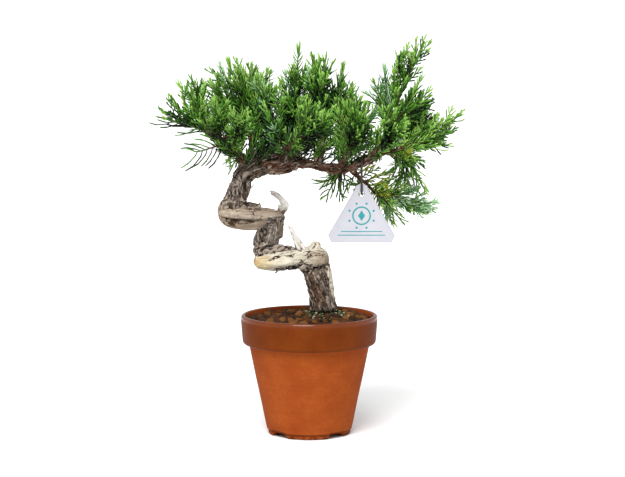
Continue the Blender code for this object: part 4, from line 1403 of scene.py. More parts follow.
def strew(ground, dice):
    foot = tuple(limbs["trunk_foot"].path[0, :3])
    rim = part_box("pot")[1].x - pot["lipWidth"]
    clear, near, far, wide = (soil[key] for key in ("lumpClear", "wallClear", "gritClear", "mossReach"))
    # name, kind, detail and flatness, then the distance apart, sizes, sink, centre, reach, hole and seed
    rows = (
        ("soil_lumps", "lump", 3, 0.8, soil["lumpApart"], 3.2, 6.4, 0.3, (0, 0, 0), rim - near, clear, 5),
        ("soil_grit", "grit", 1, 0.8, soil["gritApart"], 0.8, 2.2, 0.1, (0, 0, 0), rim - far, 0.0, 6),
        ("foot_moss", "moss", 1, 0.9, soil["mossApart"], 0.6, 1.7, -0.2, foot, wide, 0.0, 7),
    )
    for name, kind, detail, flat, apart, small, large, sink, centre, reach, hole, seed in rows:
        shapes = hiddenSet(name + "Shapes", [lumpShape(f"{kind}{i}", dice, detail, flat) for i in range(6)])
        piece = linked(name, ground.data.copy())
        values = {"Crumbs": shapes, "Apart": apart, "Small": small * mm, "Large": large * mm, "Sink": sink}
        values |= {"Centre": centre, "Reach": reach, "Hole Centre": foot, "Hole": hole, "Seed": seed}
        runTree(piece, buildScatterTree(name, crumbMaterials(kind)), values)
        settle(piece, "plant")
        discard(shapes)
    bpy.data.objects.remove(ground)


strew(buildSoilBed(), random.Random(21))


# Foliage: stems grow from the boughs to each mass's tips, side shoots off the stems, and leaves off both.

# Each kind of leaf has four shades, from those deep in the crown to those in full light.
leafPaints = {
    "green": [(11, 26, 6), (42, 86, 20), (90, 146, 42), (144, 192, 84)],
    "blue": [(24, 50, 28), (66, 118, 62), (116, 168, 106), (170, 210, 160)],
    "gold": [(44, 56, 20), (94, 118, 34), (146, 168, 46), (196, 204, 70)],
}
shades = 4
leafLift = 1.45  # leaves shade one another, so they are painted lighter than they look
growth = {
    "stems": 7,
    "apart": 12 * mm,
    "least": 0.38,
    "stemRadius": 1.3 * mm,
    "tipRadius": 0.6 * mm,
    "shootRadius": (0.8 * mm, 0.5 * mm),
    "plumes": 0.3,  # the share of stems that bear leaves only
    "flat": 0.6,  # the share of shoots with their leaves in one plane, like a feather
    "shootGap": 8.0 * mm,
    "shootAngle": 36,
    "rise": 0.15,
    "shootLength": (14, 28),
    "leafLength": 15.5,
    "leafAngle": (38, 25),  # at the foot of a shoot, and at its tip
    "cordGap": 3.7 * mm,
    "whorlGap": 3.7 * mm,
    "needles": 0.35,  # the share of shoots with awl-shaped leaves
    "whips": 0.0,  # the share of leaves that are long and drooping, where they point lower than whipRise
    "whipRise": 0.1,
    "whipLength": 17.0,
    "whipAngle": 16,  # how much wider a long leaf stands from its shoot
    "kinds": {"green": 12, "blue": 1},
    "light": 2.65,
    "shaded": 1.0,  # how much of the crown's own shade this mass takes
    "ends": (),  # x and z in millimetres of the tips of a mass whose stems are listed
    "drawn": (2, 9),  # millimetres that a tip lies inside the mass
}
# What sets a foliage mass apart from the rest.
habits = {
    "left_outer": {
        "ends": ((-148, 330), (-143, 322), (-139, 342), (-127, 349), (-112, 351), (-99, 340)),
        "kinds": {"green": 1}, "needles": 0.0, "whips": 0.9, "plumes": 0.0, "flat": 1.0,
        "shootGap": 9.0 * mm, "shootAngle": 52, "rise": 0.9, "shootLength": (13, 22), "leafLength": 11.5,
        "leafAngle": (32, 22), "cordGap": 3.6 * mm, "whipLength": 27.0, "light": 1.9,
    },
    "left_upper": {"stems": 4, "needles": 0.6, "plumes": 0.8, "light": 2.9, "shaded": 0.8},
    "left_front": {
        "stems": 5, "kinds": {"green": 6, "blue": 1}, "needles": 0.85, "plumes": 0.7, "light": 2.9,
        "shaded": 0.8,
    },
    "left_droop": {
        "ends": ((-117, 291),), "kinds": {"green": 1}, "needles": 0.0, "plumes": 1.0, "flat": 1.0,
        "cordGap": 2.9 * mm, "leafAngle": (60, 40), "whips": 1.0, "whipRise": 2.0, "whipAngle": 0,
        "whipLength": 28.0, "light": 1.2, "shaded": 0.1,
    },
    "left_under": {
        "stems": 5, "kinds": {"green": 3, "blue": 1}, "needles": 0.9, "plumes": 1.0, "light": 2.6,
        "shaded": 0.4,
    },
    "left_upright": {"stems": 4, "needles": 0.1, "light": 2.6, "shaded": 0.8},
    "left_peak": {
        "ends": ((-81, 379), (-72, 378), (-89, 373), (-66, 366), (-76, 362), (-58, 374)),
        "kinds": {"green": 10, "blue": 1}, "needles": 0.8, "plumes": 0.8, "leafLength": 16.0, "light": 3.0,
    },
    "left_inner": {"light": 2.1},
    "left_second": {"stems": 6, "kinds": {"green": 9, "blue": 2}, "needles": 0.6, "light": 2.8},
    "front_tuft": {"kinds": {"blue": 3, "green": 5}, "needles": 0.8, "plumes": 0.8, "light": 2.5},
    "centre_spire": {"kinds": {"green": 8, "blue": 1}, "needles": 0.7, "plumes": 0.8, "light": 2.6},
    "centre_low": {"needles": 0.4},
    "centre_right_up": {"needles": 0.15, "plumes": 0.4, "leafLength": 17.5, "light": 2.6},
    "centre_right": {"needles": 0.2, "light": 2.0},
    "right_centre": {"kinds": {"green": 10, "blue": 1, "gold": 1}, "needles": 0.5},
    "right_low_centre": {"needles": 0.2, "light": 1.8},
    "right_upright": {"stems": 6, "kinds": {"blue": 3, "green": 4}, "needles": 0.7, "plumes": 0.6},
    "right_spire": {
        "stems": 4, "apart": 20 * mm, "needles": 0.0, "plumes": 0.0, "flat": 0.9, "shootGap": 6.5 * mm,
        "leafLength": 11.0, "cordGap": 3.0 * mm, "shootLength": (12, 24), "light": 2.7,
    },
    "right_mid": {"stems": 6, "needles": 0.3},
    "right_mid_low": {"kinds": {"green": 6, "blue": 1}, "needles": 0.5, "light": 2.2},
    "right_outer": {
        "stems": 5, "apart": 17 * mm, "needles": 0.1, "whips": 0.6, "plumes": 0.0, "flat": 1.0,
        "shootGap": 7.5 * mm, "shootAngle": 46, "rise": 0.5, "shootLength": (14, 24), "leafLength": 12.0,
        "cordGap": 3.6 * mm, "whipLength": 18.0, "light": 2.9,
    },
    "right_under": {
        "stems": 6, "kinds": {"gold": 1, "green": 3}, "needles": 0.6, "plumes": 1.0, "light": 2.6,
        "shaded": 0.3,
    },
    "right_hang": {
        "ends": ((81, 268), (88, 258), (97, 262), (106, 268), (112, 258), (117, 250)), "plumes": 0.8,
        "light": 2.4, "whips": 0.3, "shaded": 0.2,
    },
    "low_right_outer": {
        "stems": 5, "kinds": {"green": 4, "blue": 1}, "needles": 0.2, "plumes": 0.4, "flat": 0.8,
        "leafLength": 12.0, "light": 2.9, "shaded": 0.15,
    },
    "low_right_inner": {
        "stems": 5, "kinds": {"green": 5, "blue": 2, "gold": 1}, "needles": 0.7, "plumes": 0.9,
        "light": 3.1, "shaded": 0.1,
    },
    "below_bough": {
        "ends": ((11, 257), (16, 243), (34, 242), (44, 254), (22, 262)), "needles": 0.3, "plumes": 1.0,
        "flat": 0.8, "whips": 0.5, "whipLength": 14.0, "light": 2.1, "shaded": 0.3,
    },
}
# Short shoots straight off a bough: gap, from, to, shortest, longest, least rise, light and kind.
clothing = {
    "trunk_top": (0.9, 0.0, 1.0, 16, 36, 0.2, 0.5, "green"),
    "bough_right_inner": (1.9, 0.0, 1.0, 14, 30, 0.45, 1.2, "green"),
    "bough_right": (2.8, 0.0, 1.0, 12, 26, 0.45, 1.8, "green"),
    "bough_right_up": (2.8, 0.1, 1.0, 14, 26, -0.6, 2.0, "green"),
    "bough_right_out": (2.6, 0.1, 1.0, 14, 26, -1.0, 2.3, "green"),
    "bough_right_low": (1.3, 0.05, 1.0, 10, 24, -1.0, 2.9, "gold"),
    "bough_right_riser": (2.2, 0.0, 1.0, 14, 28, -0.3, 1.6, "green"),
    "bough_right_middle": (2.4, 0.0, 1.0, 14, 26, -0.3, 2.0, "green"),
    "bough_right_front": (2.8, 0.1, 1.0, 14, 26, -0.3, 2.3, "green"),
    "bough_right_back": (2.4, 0.0, 1.0, 14, 28, -0.4, 1.8, "green"),
    "bough_centre": (1.6, 0.0, 1.0, 16, 34, -0.3, 1.3, "green"),
    "bough_front": (2.0, 0.1, 1.0, 14, 30, -0.1, 2.2, "blue"),
    "bough_back": (2.0, 0.0, 1.0, 16, 32, -0.2, 1.4, "green"),
    "bough_left": (1.7, 0.0, 1.0, 14, 30, -0.1, 1.7, "green"),
    "bough_left_up": (1.5, 0.0, 1.0, 16, 32, -0.2, 1.3, "green"),
}
shade = {"reach": 300 * mm, "soft": (2 * mm, 32 * mm), "most": 2.5, "other": (0.15, 60 * mm)}


crownSkin = skinOf(*massNames)[0]
shadeWay = Vector(lightFrom).normalized()


def shadeAt(place):
    # how much darker a leaf is for lying deep in the crown, seen from the light
    reach, (near, far), (part, most) = shade["reach"], shade["soft"], shade["other"]
    place = Vector(place)
    met = crownSkin.ray_cast(place + shadeWay * reach, -shadeWay, reach)[3]
    over = 0.0 if met is None else min(reach - met, most)
    _, normal, _, own = crownSkin.ray_cast(place, shadeWay, reach)
    depth = own if own is not None and normal.dot(shadeWay) > 0 else 0.0
    depth += part * max(0.0, over - depth)
    return shade["most"] * min(1.0, max(0.0, (depth - near) / (far - near)))


tagLow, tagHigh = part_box("tag_plate")
tagRoom = {
    "spare": 2.3 * mm,
    "strapHalf": 1.5 * mm,
    "loop": 8 * mm,
    "topHalf": 7 * mm,
    "seen": (6 * mm, 13 * mm, -2 * mm),  # the strap's stretch on the bough that no leaf hides
}


def meetsTag(place):
    # whether a place lies where the tag hangs or swings, or hides its strap
    across, out, drop = abs(place[0] - tagHinge.x), place[1] - tagHinge.y, tagHinge.z - place[2]
    side, above, front = tagRoom["seen"]
    tagTop, tagHeight = tagHinge.z - tagHigh.z, tagHigh.z - tagLow.z
    if across < side and -above < drop < tagTop and out < front:
        return True
    spare, loop, reach = tagRoom["spare"], tagRoom["loop"], math.hypot(out, drop)
    if across < tagRoom["strapHalf"] + spare and abs(out) < loop and -loop < drop < tagTop:
        return True
    first, last = (math.radians(turn) for turn in tagJoint["range_deg"])
    beyond = spare / max(reach, spare)
    if not first - beyond < math.atan2(out, drop) < last + beyond:
        return False
    share = (reach - tagTop) / tagHeight
    if share > 1 + spare / tagHeight:
        return False
    wide = tagRoom["topHalf"] + ((tagHigh.x - tagLow.x) / 2 - tagRoom["topHalf"]) * min(1.0, max(0.0, share))
    return across < spare + (wide if share > -0.06 else tagRoom["strapHalf"])


def pickKind(weights, dice):
    return dice.choices(list(weights), list(weights.values()))[0]


crown = {}  # the cords and the needles that each mass or bough has grown, for the trees to place
twigs = {"wood": [], "green": []}


def bezier(first, second, third, last, count):
    t = np.linspace(0, 1, count)[:, None]
    return (1 - t) ** 3 * first + 3 * (1 - t) ** 2 * t * second + 3 * (1 - t) * t**2 * third + t**3 * last


def measured(line):
    step = np.linalg.norm(np.diff(line, axis=0), axis=1)
    return np.concatenate([[0.0], np.cumsum(step)])


def at(line, run, distance):
    # the place on a line and the way ahead there
    row = min(max(int(np.searchsorted(run, distance)), 1), len(line) - 1)
    share = (distance - run[row - 1]) / max(run[row] - run[row - 1], 1e-9)
    return line[row - 1] + share * (line[row] - line[row - 1]), unit(line[row] - line[row - 1])


def off(ahead, turn, angle):
    # a way that leaves the line at an angle, turned round it
    first = unit(np.cross(ahead, (0.13, 0.28, 0.95)))
    radial = math.cos(turn) * first + math.sin(turn) * np.cross(ahead, first)
    return unit(math.cos(angle) * ahead + math.sin(angle) * radial)


def firstTurn(flat, dice):
    return math.pi / 2 + dice.uniform(-0.5, 0.5) if flat else dice.uniform(0, 2 * math.pi)


def addTwig(line, start, end, woody):
    radii = start + (end - start) * np.linspace(0, 1, len(line)) ** 0.8
    split = int(np.clip(round(woody * (len(line) - 1)), 0, len(line) - 1))
    if split > 0:
        twigs["wood"].append((line[: split + 1], radii[: split + 1]))
    if split < len(line) - 1:
        twigs["green"].append((line[split:], radii[split:]))


def dressLine(line, start, scale, habit, kind, light, into, dice):
    # leaves along a line from a share of it to its tip: long in the middle, short and close at the tip
    run = measured(line)
    awl = dice.random() < habit["needles"]
    gap = (habit["whorlGap"] if awl else habit["cordGap"]) * (0.6 + 0.4 * scale)
    distance = start * run[-1]
    flat = not awl and dice.random() < habit["flat"]
    turn = firstTurn(flat, dice)
    wide, narrow = habit["leafAngle"]
    while distance < run[-1]:
        share = distance / run[-1]
        place, ahead = at(line, run, distance)
        swell = 0.76 + 0.24 * math.sin(math.pi * min(1.0, share / 0.5) / 2)
        swell *= 1 - (0.25 if awl else 0.45) * max(0.0, share - 0.72) / 0.28
        length = habit["leafLength"] * scale * swell * dice.uniform(0.86, 1.12) * mm
        angle = math.radians(wide + (narrow - wide) * share**1.5 + dice.uniform(-6, 6))
        way = off(ahead, turn, angle)
        # a leaf's shade level picks a lit or shaded copy of its colour: painted shade near the foot of the
        # line and deep in the crown, lighter young growth with painted light towards the tip
        level = light - 1.0 * max(0.0, 0.4 - share) / 0.4 + 0.5 * max(0.0, share - 0.75) / 0.25
        level += dice.uniform(-0.85, 0.85) - habit["shaded"] * shadeAt(place)
        ways = [off(ahead, turn + step, angle) for step in (0.0, 2.1, 4.2)] if awl else [way]
        reaches = [leaf * length * reach for leaf in ways for reach in (0.0, 0.33, 0.66, 1.0)]
        free = not any(meetsTag(place + reach) for reach in reaches)
        if free and awl:
            into["needles"].append((place, ahead, way, length, kind, level, share > 0.88))
        elif free:
            # painted light: leaves that point up are lighter, those that point down darker, and long drooping
            # ones a little darker still
            level += 0.5 * way[2] - 0.1
            whip = dice.random() < habit["whips"] and way[2] < habit["whipRise"] and share < 0.9
            if whip:
                stretch = dice.uniform(0.8, 1.1) * (1.15 if way[2] < 0 else 0.85)
                length = habit["whipLength"] * scale * stretch * mm
                way = off(ahead, turn, angle + math.radians(habit["whipAngle"]))
            into["cords"].append((place, way, ahead, length, kind, level - (0.1 if whip else 0), whip))
        turn += 1.05 if awl else math.pi + dice.uniform(-0.35, 0.35) if flat else goldenAngle
        distance += gap * dice.uniform(0.85, 1.15)
    place, ahead = at(line, run, run[-1])
    place = place - 0.6 * mm * ahead
    # the tip leaf: lighter young growth and painted light, less the crown's painted shade
    level = light + 0.6 - habit["shaded"] * shadeAt(place)
    if meetsTag(place) or meetsTag(place + 8 * mm * ahead):
        return
    lean = off(ahead, turn, 1.2)
    if awl:
        into["needles"].append((place, ahead, lean, 6.5 * scale * mm, kind, level, True))
    else:
        into["cords"].append((place, ahead, lean, 8.5 * scale * mm, kind, level, False))


def growShoot(place, way, ahead, length, habit, kind, light, into, dice):
    steps = np.linspace(0, 1, 7)
    line = place + steps[:, None] * length * way
    line = line + (steps**2)[:, None] * 0.18 * length * (ahead + 0.5 * upward)
    if any(meetsTag(point) for point in line):
        return
    addTwig(line, *habit["shootRadius"], 0.0)
    dressLine(line, 0.12, 0.85, habit, kind, light, into, dice)


def growStem(root, knee, lead, tip, habit, skin, into, dice):
    count = max(8, int(np.linalg.norm(tip - root) / (3 * mm)))
    line = bezier(root, knee, lead, tip, count)
    sway = np.array([noise.noise_vector(Vector(place) * 45) for place in line]) * 2.0 * mm
    line = line + sway * (np.sin(np.linspace(0, math.pi, count)) ** 0.7)[:, None]
    run = measured(line)
    addTwig(line, habit["stemRadius"], habit["tipRadius"], 0.5)
    kind = pickKind(habit["kinds"], dice)
    light = habit["light"] + dice.uniform(-0.35, 0.35)
    if dice.random() < habit["plumes"]:
        dressLine(line, 0.14, 1.0, habit, kind, light, into, dice)
        return
    distance = 0.16 * run[-1]
    flat = dice.random() < habit["flat"]
    turn = firstTurn(flat, dice)
    low, high = habit["shootLength"]
    while distance < 0.9 * run[-1]:
        share = distance / run[-1]
        place, ahead = at(line, run, distance)
        angle = math.radians(habit["shootAngle"] + dice.uniform(-8, 8))
        way = unit(off(ahead, turn, angle) + habit["rise"] * upward)
        length = dice.uniform(low, high) * (1 - 0.35 * share) * mm
        hit, _, _, free = skin.ray_cast(Vector(place), Vector(way))
        if hit is not None and share > 0.35:
            length = min(length, free)
        if length > 6 * mm:
            shootKind = kind if dice.random() < 0.75 else pickKind(habit["kinds"], dice)
            level = light + dice.uniform(-0.8, 0.6)
            growShoot(place, way, ahead, length, habit, shootKind, level, into, dice)
        turn += math.pi + dice.uniform(-0.6, 0.6) if flat else goldenAngle
        distance += habit["shootGap"] * dice.uniform(0.75, 1.25)
    dressLine(line, 0.3, 0.86, habit, kind, light, into, dice)


def rootRows(skin, heart):
    # the stretch of bough that a mass's stems leave from, nearest first
    rows = []
    for limb in limbs.values():
        if limb.node in spikeNames or limb.node in trunkWays and limb.node not in ("trunk_top", "trunk_rise"):
            continue
        for row in limb.path[len(limb.path) // 6 :: 2, :3]:
            if abs(row[0] - tagHinge.x) < 5 * mm:
                continue
            rows.append((skin.find_nearest(Vector(row))[3] + 0.12 * np.linalg.norm(row - heart), tuple(row)))
    rows.sort()
    first = np.array(rows[0][1])
    return [np.array(row) for _, row in rows[:40] if np.linalg.norm(np.array(row) - first) < 13 * mm]


def growMass(name, dice):
    habit = growth | habits.get(name.removeprefix("mass_"), {})
    into = crown[name] = {"cords": [], "needles": []}
    skin, corners = skinOf(name)
    heart = corners.mean(axis=0)
    roots = rootRows(skin, heart)
    reach = np.linalg.norm(corners - roots[0], axis=1)
    depths = (0.0, -9.0, 7.0, -4.0, 11.0, -12.0)  # where set tips lie, in front of and behind the middle
    targets = [np.array((x * mm, heart[1] + y * mm, z * mm)) for (x, z), y in zip(habit["ends"], depths)]
    for index in np.argsort(-reach) if not targets else ():
        if reach[index] < habit["least"] * reach.max() or len(targets) == habit["stems"]:
            break
        if all(np.linalg.norm(corners[index] - other) > habit["apart"] for other in targets):
            targets.append(corners[index])
    for target in targets:
        root = dice.choice(roots)
        knee = root + 0.4 * (heart - root) + 0.06 * np.linalg.norm(target - root) * upward
        tip = target + unit(heart - target) * (0.0 if habit["ends"] else dice.uniform(*habit["drawn"]) * mm)
        lead = tip - 0.38 * (tip - heart) - 0.08 * np.linalg.norm(tip - root) * upward
        growStem(root, knee, lead, tip, habit, skin, into, dice)


def clothe(node, dice):
    # short leafy shoots straight off a bough
    gap, start, end, shortest, longest, rise, light, kind = clothing[node]
    limb = limbs[node]
    shaded = 0.3 if node == "bough_right_low" else 1.0
    habit = growth | {"leafLength": 12.5, "needles": 0.4, "shaded": shaded}
    into = crown[node] = {"cords": [], "needles": []}
    distance = start * limb.run[-1]
    turn = firstTurn(False, dice)
    while distance < end * limb.run[-1]:
        row = int(np.searchsorted(limb.run, distance))
        ahead = limb.ahead[row]
        way = off(ahead, turn, math.radians(dice.uniform(42, 68)))
        if way[2] > rise:
            place = limb.path[row, :3] + way * limb.path[row, 3] * 0.5
            length = (dice.uniform(shortest, longest) + limb.path[row, 3] / mm) * mm
            # painted light: shoots that point up take a lighter shade level
            level = light + 0.35 * way[2] + dice.uniform(-0.6, 0.6)
            shown = kind if dice.random() < 0.6 else "green"
            growShoot(place, unit(way + 0.25 * upward), ahead, length, habit, shown, level, into, dice)
        turn += goldenAngle
        distance += gap * dice.uniform(0.7, 1.3) * mm


for seed, name in enumerate(massNames):
    growMass(name, random.Random(seed))
for seed, name in enumerate(clothing):
    clothe(name, random.Random(100 + seed))
cordCount, whorlCount = (sum(len(grown[kind]) for grown in crown.values()) for kind in ("cords", "needles"))
print(f"grew {cordCount} cords and {whorlCount} whorls")


def buildTwigTree(material):
    tree, into, out = newGeometry("twigSkin", {"Sides": 5, "Thickness": 1.0})
    curve = wire(tree, "GeometryNodeMeshToCurve", {"Mesh": into[0]})
    section = {"Resolution": into["Sides"], "Radius": 1.0}
    ring = wire(tree, "GeometryNodeCurvePrimitiveCircle", section, mode="RADIUS")
    thick = times(named(tree, "radius"), into["Thickness"])
    skin = {"Curve": curve, "Profile Curve": ring, "Scale": thick, "Fill Caps": True}
    smooth = {"Geometry": wire(tree, "GeometryNodeCurveToMesh", skin), "Shade Smooth": True}
    return closeTree(tree, wire(tree, "GeometryNodeSetShadeSmooth", smooth), out, [material])


def buildTwigs(name, lines, sides, material):
    verts, edges, radii = [], [], []
    for line, thick in lines:
        first = len(verts)
        verts += list(line)
        radii += list(thick)
        edges += [(first + i, first + i + 1) for i in range(len(line) - 1)]
    piece = newObject(name, verts, edges=edges)
    attribute(piece, "radius", radii)
    runTree(piece, buildTwigTree(material), {"Sides": sides})
    settle(piece, "plant")


twigBark = newMaterial("twig bark", paint(112, 78, 56), 0.85, 0.3)[0]
buildTwigs("woody_twigs", twigs["wood"], 5, twigBark)
greenSkin = newMaterial("green twig", paint(88, 124, 42, 1.2), 0.6)[0]
buildTwigs("green_twigs", twigs["green"], 4, greenSkin)


def ringTube(path, radii, sides, twist=0.5):
    # a small pointed tube round a path in the XZ plane: the last point is its tip
    verts = []
    for i, ((x, z), radius) in enumerate(zip(path[:-1], radii)):
        before, after = path[max(i - 1, 0)], path[i + 1]
        lean = math.atan2(after[0] - before[0], after[1] - before[1])
        for k in range(sides):
            angle = 2 * math.pi * (k + twist * (i % 2)) / sides
            across = radius * math.cos(angle)
            verts.append((x + across * math.cos(lean), radius * math.sin(angle), z - across * math.sin(lean)))
    verts.append((path[-1][0], 0.0, path[-1][1]))
    faces = wall(len(path) - 1, sides)
    last = sides * (len(path) - 2)
    faces += [(last + k, last + (k + 1) % sides, len(verts) - 1) for k in range(sides)]
    faces.append(tuple(range(sides))[::-1])
    return np.array(verts), faces


def curved(length, bend, steps, tip=1.0):
    # points along an arc that starts up Z and leans over to X, with a last step of its own length
    points, x, z = [(0.0, 0.0)], 0.0, 0.0
    parts = [1.0] * (steps - 1) + [tip]
    for i, part in enumerate(parts):
        lean = bend * (i + 0.5) / steps
        x += math.sin(lean) * length * part / sum(parts)
        z += math.cos(lean) * length * part / sum(parts)
        points.append((x, z))
    return points


cord = {
    "lengths": (6.5, 9.5, 12.5, 16.0),
    "radius": 0.8,
    "bend": 0.3,
    "segments": 5,
    "lump": 0.1,
    "tip": 0.4,
    "forkAngle": 32,
    "forkLength": 0.36,
    "forkRadius": 0.64,
    "whips": (15.0, 21.0, 29.0),
    "whipRadius": 0.84,
    "whipBend": 0.8,
}


def cordShape(name, length, forks, radius, bend, sides=4):
    # a cord of scale leaves; its forks lie in its own plane, to either side
    swell = [0.8, 1.0, 1.0 - cord["lump"], 1.0 + cord["lump"], 0.9]
    path = curved(length, bend, cord["segments"], cord["tip"])
    parts = [ringTube(path, [radius * part for part in swell], sides)]
    for share, side in forks:
        row = max(1, round(share * cord["segments"]))
        x, z = path[row]
        fork = curved(length * cord["forkLength"], 0.3, 2)
        verts, faces = ringTube(fork, [cord["forkRadius"] * 0.7, cord["forkRadius"]], 3)
        turn = Matrix.Rotation(side * math.radians(cord["forkAngle"]), 3, "X")
        lean = Matrix.Rotation(bend * share, 3, "Y")
        verts = np.array([tuple(lean @ (turn @ Vector(vert)) + Vector((x, 0, z))) for vert in verts])
        parts.append((verts, faces))
    return joined(name, [(verts * mm, faces) for verts, faces in parts])


whorl = {
    "lengths": (5.0, 8.5, 13.0),
    "tilt": 38,
    "tightLengths": (5.0, 8.0),  # at the tip of a shoot
    "tightTilt": 20,
    "radii": (0.4, 0.6, 0.46),
    "bend": -0.25,
}


def whorlShape(name, length, tilt, dice):
    # three awl-shaped leaves round the shoot, which runs up local Z
    parts = []
    for k in range(3):
        reach = length * dice.uniform(0.85, 1.1)
        verts, faces = ringTube(curved(reach, whorl["bend"], 3), whorl["radii"], 3, twist=0.0)
        lean = Matrix.Rotation(math.radians(tilt + dice.uniform(-5, 5)), 3, "Y")
        around = Matrix.Rotation(2 * math.pi * k / 3 + dice.uniform(-0.25, 0.25), 3, "Z")
        parts.append((np.array([tuple(around @ (lean @ Vector(vert))) for vert in verts]) * mm, faces))
    return joined(name, parts)


def buildLeafTree(name, materials):
    # picks a shape for each point and stands it along "aim", with its X towards "lean"
    inputs = {"Shapes": "Collection", "Sway": 0.1, "Thickness": 1.0, "Seed": 1}
    tree, into, out = newGeometry(name, inputs)
    stand = standing(named(tree, "aim", "FLOAT_VECTOR"), named(tree, "lean", "FLOAT_VECTOR"))
    most = xyz(into["Sway"], into["Sway"], into["Sway"])
    size = named(tree, "size")
    thick = times(into["Thickness"], timesPlus(size, 0.5, 0.5))
    put = {
        "Instance Index": named(tree, "kind", "INT"),
        "Rotation": swayed(stand, vectorOf("MULTIPLY", most, (-1, -1, -1)), most, into["Seed"]),
        "Scale": xyz(thick, thick, size),
    }
    return closeTree(tree, placeShapes(into[0], into["Shapes"], put), out, materials)


def leafMaterials():
    made = []
    # each kind's four materials are shaded and lit copies of one leaf colour: painted light
    for kind, colours in leafPaints.items():
        for i, colour in enumerate(colours):
            made.append(newMaterial(f"{kind} leaf {i + 1}", paint(*colour, leafLift), 0.5, 0.25)[0])
    return made


def masses(*endings):
    return tuple("mass_" + ending for ending in endings)


regions = {
    "left": masses("left_outer", "left_upper", "left_droop", "left_under", "left_upright", "left_front"),
    "left_inner": masses("left_peak", "left_inner", "left_second", "front_tuft", "front_left"),
    "centre": masses("centre_spire", "centre_low", "centre_right_up", "centre_right", "front_centre"),
    "right_inner": masses("right_centre", "right_low_centre", "right_upright", "front_right", "below_bough"),
    "right": masses("right_spire", "right_mid", "right_mid_low", "right_outer", "right_under", "right_hang"),
    "low_right": masses("low_right_outer", "low_right_inner"),
    "back": masses("back_left", "back_centre", "back_right", "back_far_right"),
    "along_boughs": tuple(clothing),
}


def placeLeaves(name, leaves, rows, lengths, kinds, tree, shapes, seed):
    # rows names the row of shapes that each leaf takes, and each row has its own length
    dice = random.Random(seed)
    piece = newObject(name, [leaf[0] for leaf in leaves])
    attribute(piece, "aim", [leaf[1] for leaf in leaves], "FLOAT_VECTOR")
    attribute(piece, "lean", [leaf[2] for leaf in leaves], "FLOAT_VECTOR")
    attribute(piece, "size", [leaf[3] / (lengths[row] * mm) for leaf, row in zip(leaves, rows)])
    attribute(piece, "kind", [row * kinds + dice.randrange(kinds) for row in rows], "INT")
    families = list(leafPaints)
    # a leaf's shade level picks its shaded or lit copy: painted light
    levels = np.clip([round(leaf[5]) for leaf in leaves], 0, shades - 1)
    tints = [families.index(leaf[4]) * shades + level for leaf, level in zip(leaves, levels)]
    attribute(piece, "tint", tints, "INT")
    return runTree(piece, tree, {"Shapes": shapes, "Seed": seed})


def nearestRows(leaves, usual, special):
    # the row of shapes nearest each leaf's length: the usual ones or, for a marked leaf, the special ones
    rows = []
    for leaf in leaves:
        lengths, first = (special, len(usual)) if leaf[6] else (usual, 0)
        rows.append(first + int(np.argmin(np.abs(np.array(lengths) - leaf[3] / mm))))
    return rows


cordForks = ((), (), ((0.6, 1),))  # each kind of cord's forks: how far up, and to which side
whorlKinds = 2


def cordSet():
    shapes = []
    for row, length in enumerate(cord["lengths"] + cord["whips"]):
        long = row >= len(cord["lengths"])
        for k, forks in enumerate(cordForks):
            name = f"cord{row * len(cordForks) + k:02d}"
            if long:
                bend = cord["whipBend"] * (0.8 + 0.2 * k)
                shapes.append(cordShape(name, length, (), cord["whipRadius"], bend, 3))
            else:
                shapes.append(cordShape(name, length, forks, cord["radius"], cord["bend"], 4))
    return hiddenSet("cordShapes", shapes)


def whorlSet(dice):
    shapes = []
    for row, length in enumerate(whorl["lengths"] + whorl["tightLengths"]):
        tilt = whorl["tilt"] if row < len(whorl["lengths"]) else whorl["tightTilt"]
        names = [f"whorl{row * whorlKinds + k:02d}" for k in range(whorlKinds)]
        shapes += [whorlShape(name, length, tilt, dice) for name in names]
    return hiddenSet("whorlShapes", shapes)


def buildLeaves():
    tree = buildLeafTree("leafing", leafMaterials())
    cords, whorls = cordSet(), whorlSet(random.Random(4))
    kinds = (
        ("sprays_", "cords", cord["lengths"], cord["whips"], len(cordForks), cords),
        ("needles_", "needles", whorl["lengths"], whorl["tightLengths"], whorlKinds, whorls),
    )
    for seed, (region, members) in enumerate(regions.items()):
        replaced = [member for member in members if member in massNames]
        for prefix, kind, usual, special, count, shapes in kinds:
            leaves = [leaf for member in members for leaf in crown[member][kind]]
            rows = nearestRows(leaves, usual, special)
            piece = placeLeaves(prefix + region, leaves, rows, usual + special, count, tree, shapes, seed)
            settle(piece, "plant", replaced if kind == "cords" else ())
    for row in kinds:
        discard(row[-1])


buildLeaves()


# Tag: a chamfered plastic triangle with a plain printed ornament, hung on a dark loop.

tag = {
    "topHalf": 5.6 * mm,
    "shoulderDrop": 5.5 * mm,
    "shoulderHalf": 7.0 * mm,
    "cornerRise": 7 * mm,
    "bottomShare": 0.905,
    "holeDrop": 10 * mm,
    "holeRadius": 2.9 * mm,
    "bevel": 0.34 * mm,
    "printDepth": 0.05 * mm,
}


def tagOutline(low, high):
    x, top = (low.x + high.x) / 2, high.z
    half = (high.x - low.x) / 2
    right = [
        (tag["topHalf"] * 0.5, top),
        (tag["topHalf"], top - 1.5 * mm),
        (tag["shoulderHalf"], top - tag["shoulderDrop"]),
        (half, low.z + tag["cornerRise"]),
        (half * tag["bottomShare"], low.z),
    ]
    return [(x + a, z) for a, z in right] + [(x - a, z) for a, z in reversed(right)]


def circle(x, z, radius, count):
    turns = np.linspace(0, 2 * math.pi, count, endpoint=False)
    return [(x + radius * math.cos(turn), z + radius * math.sin(turn)) for turn in turns]


def slab(bm, outline, front, back):
    # a flat piece between two depths, drawn in X and Z
    face = bm.faces.new([bm.verts.new((x, front, z)) for x, z in outline])
    extruded = bmesh.ops.extrude_face_region(bm, geom=[face])["geom"]
    moved = [item for item in extruded if isinstance(item, bmesh.types.BMVert)]
    bmesh.ops.translate(bm, vec=(0, back - front, 0), verts=moved)


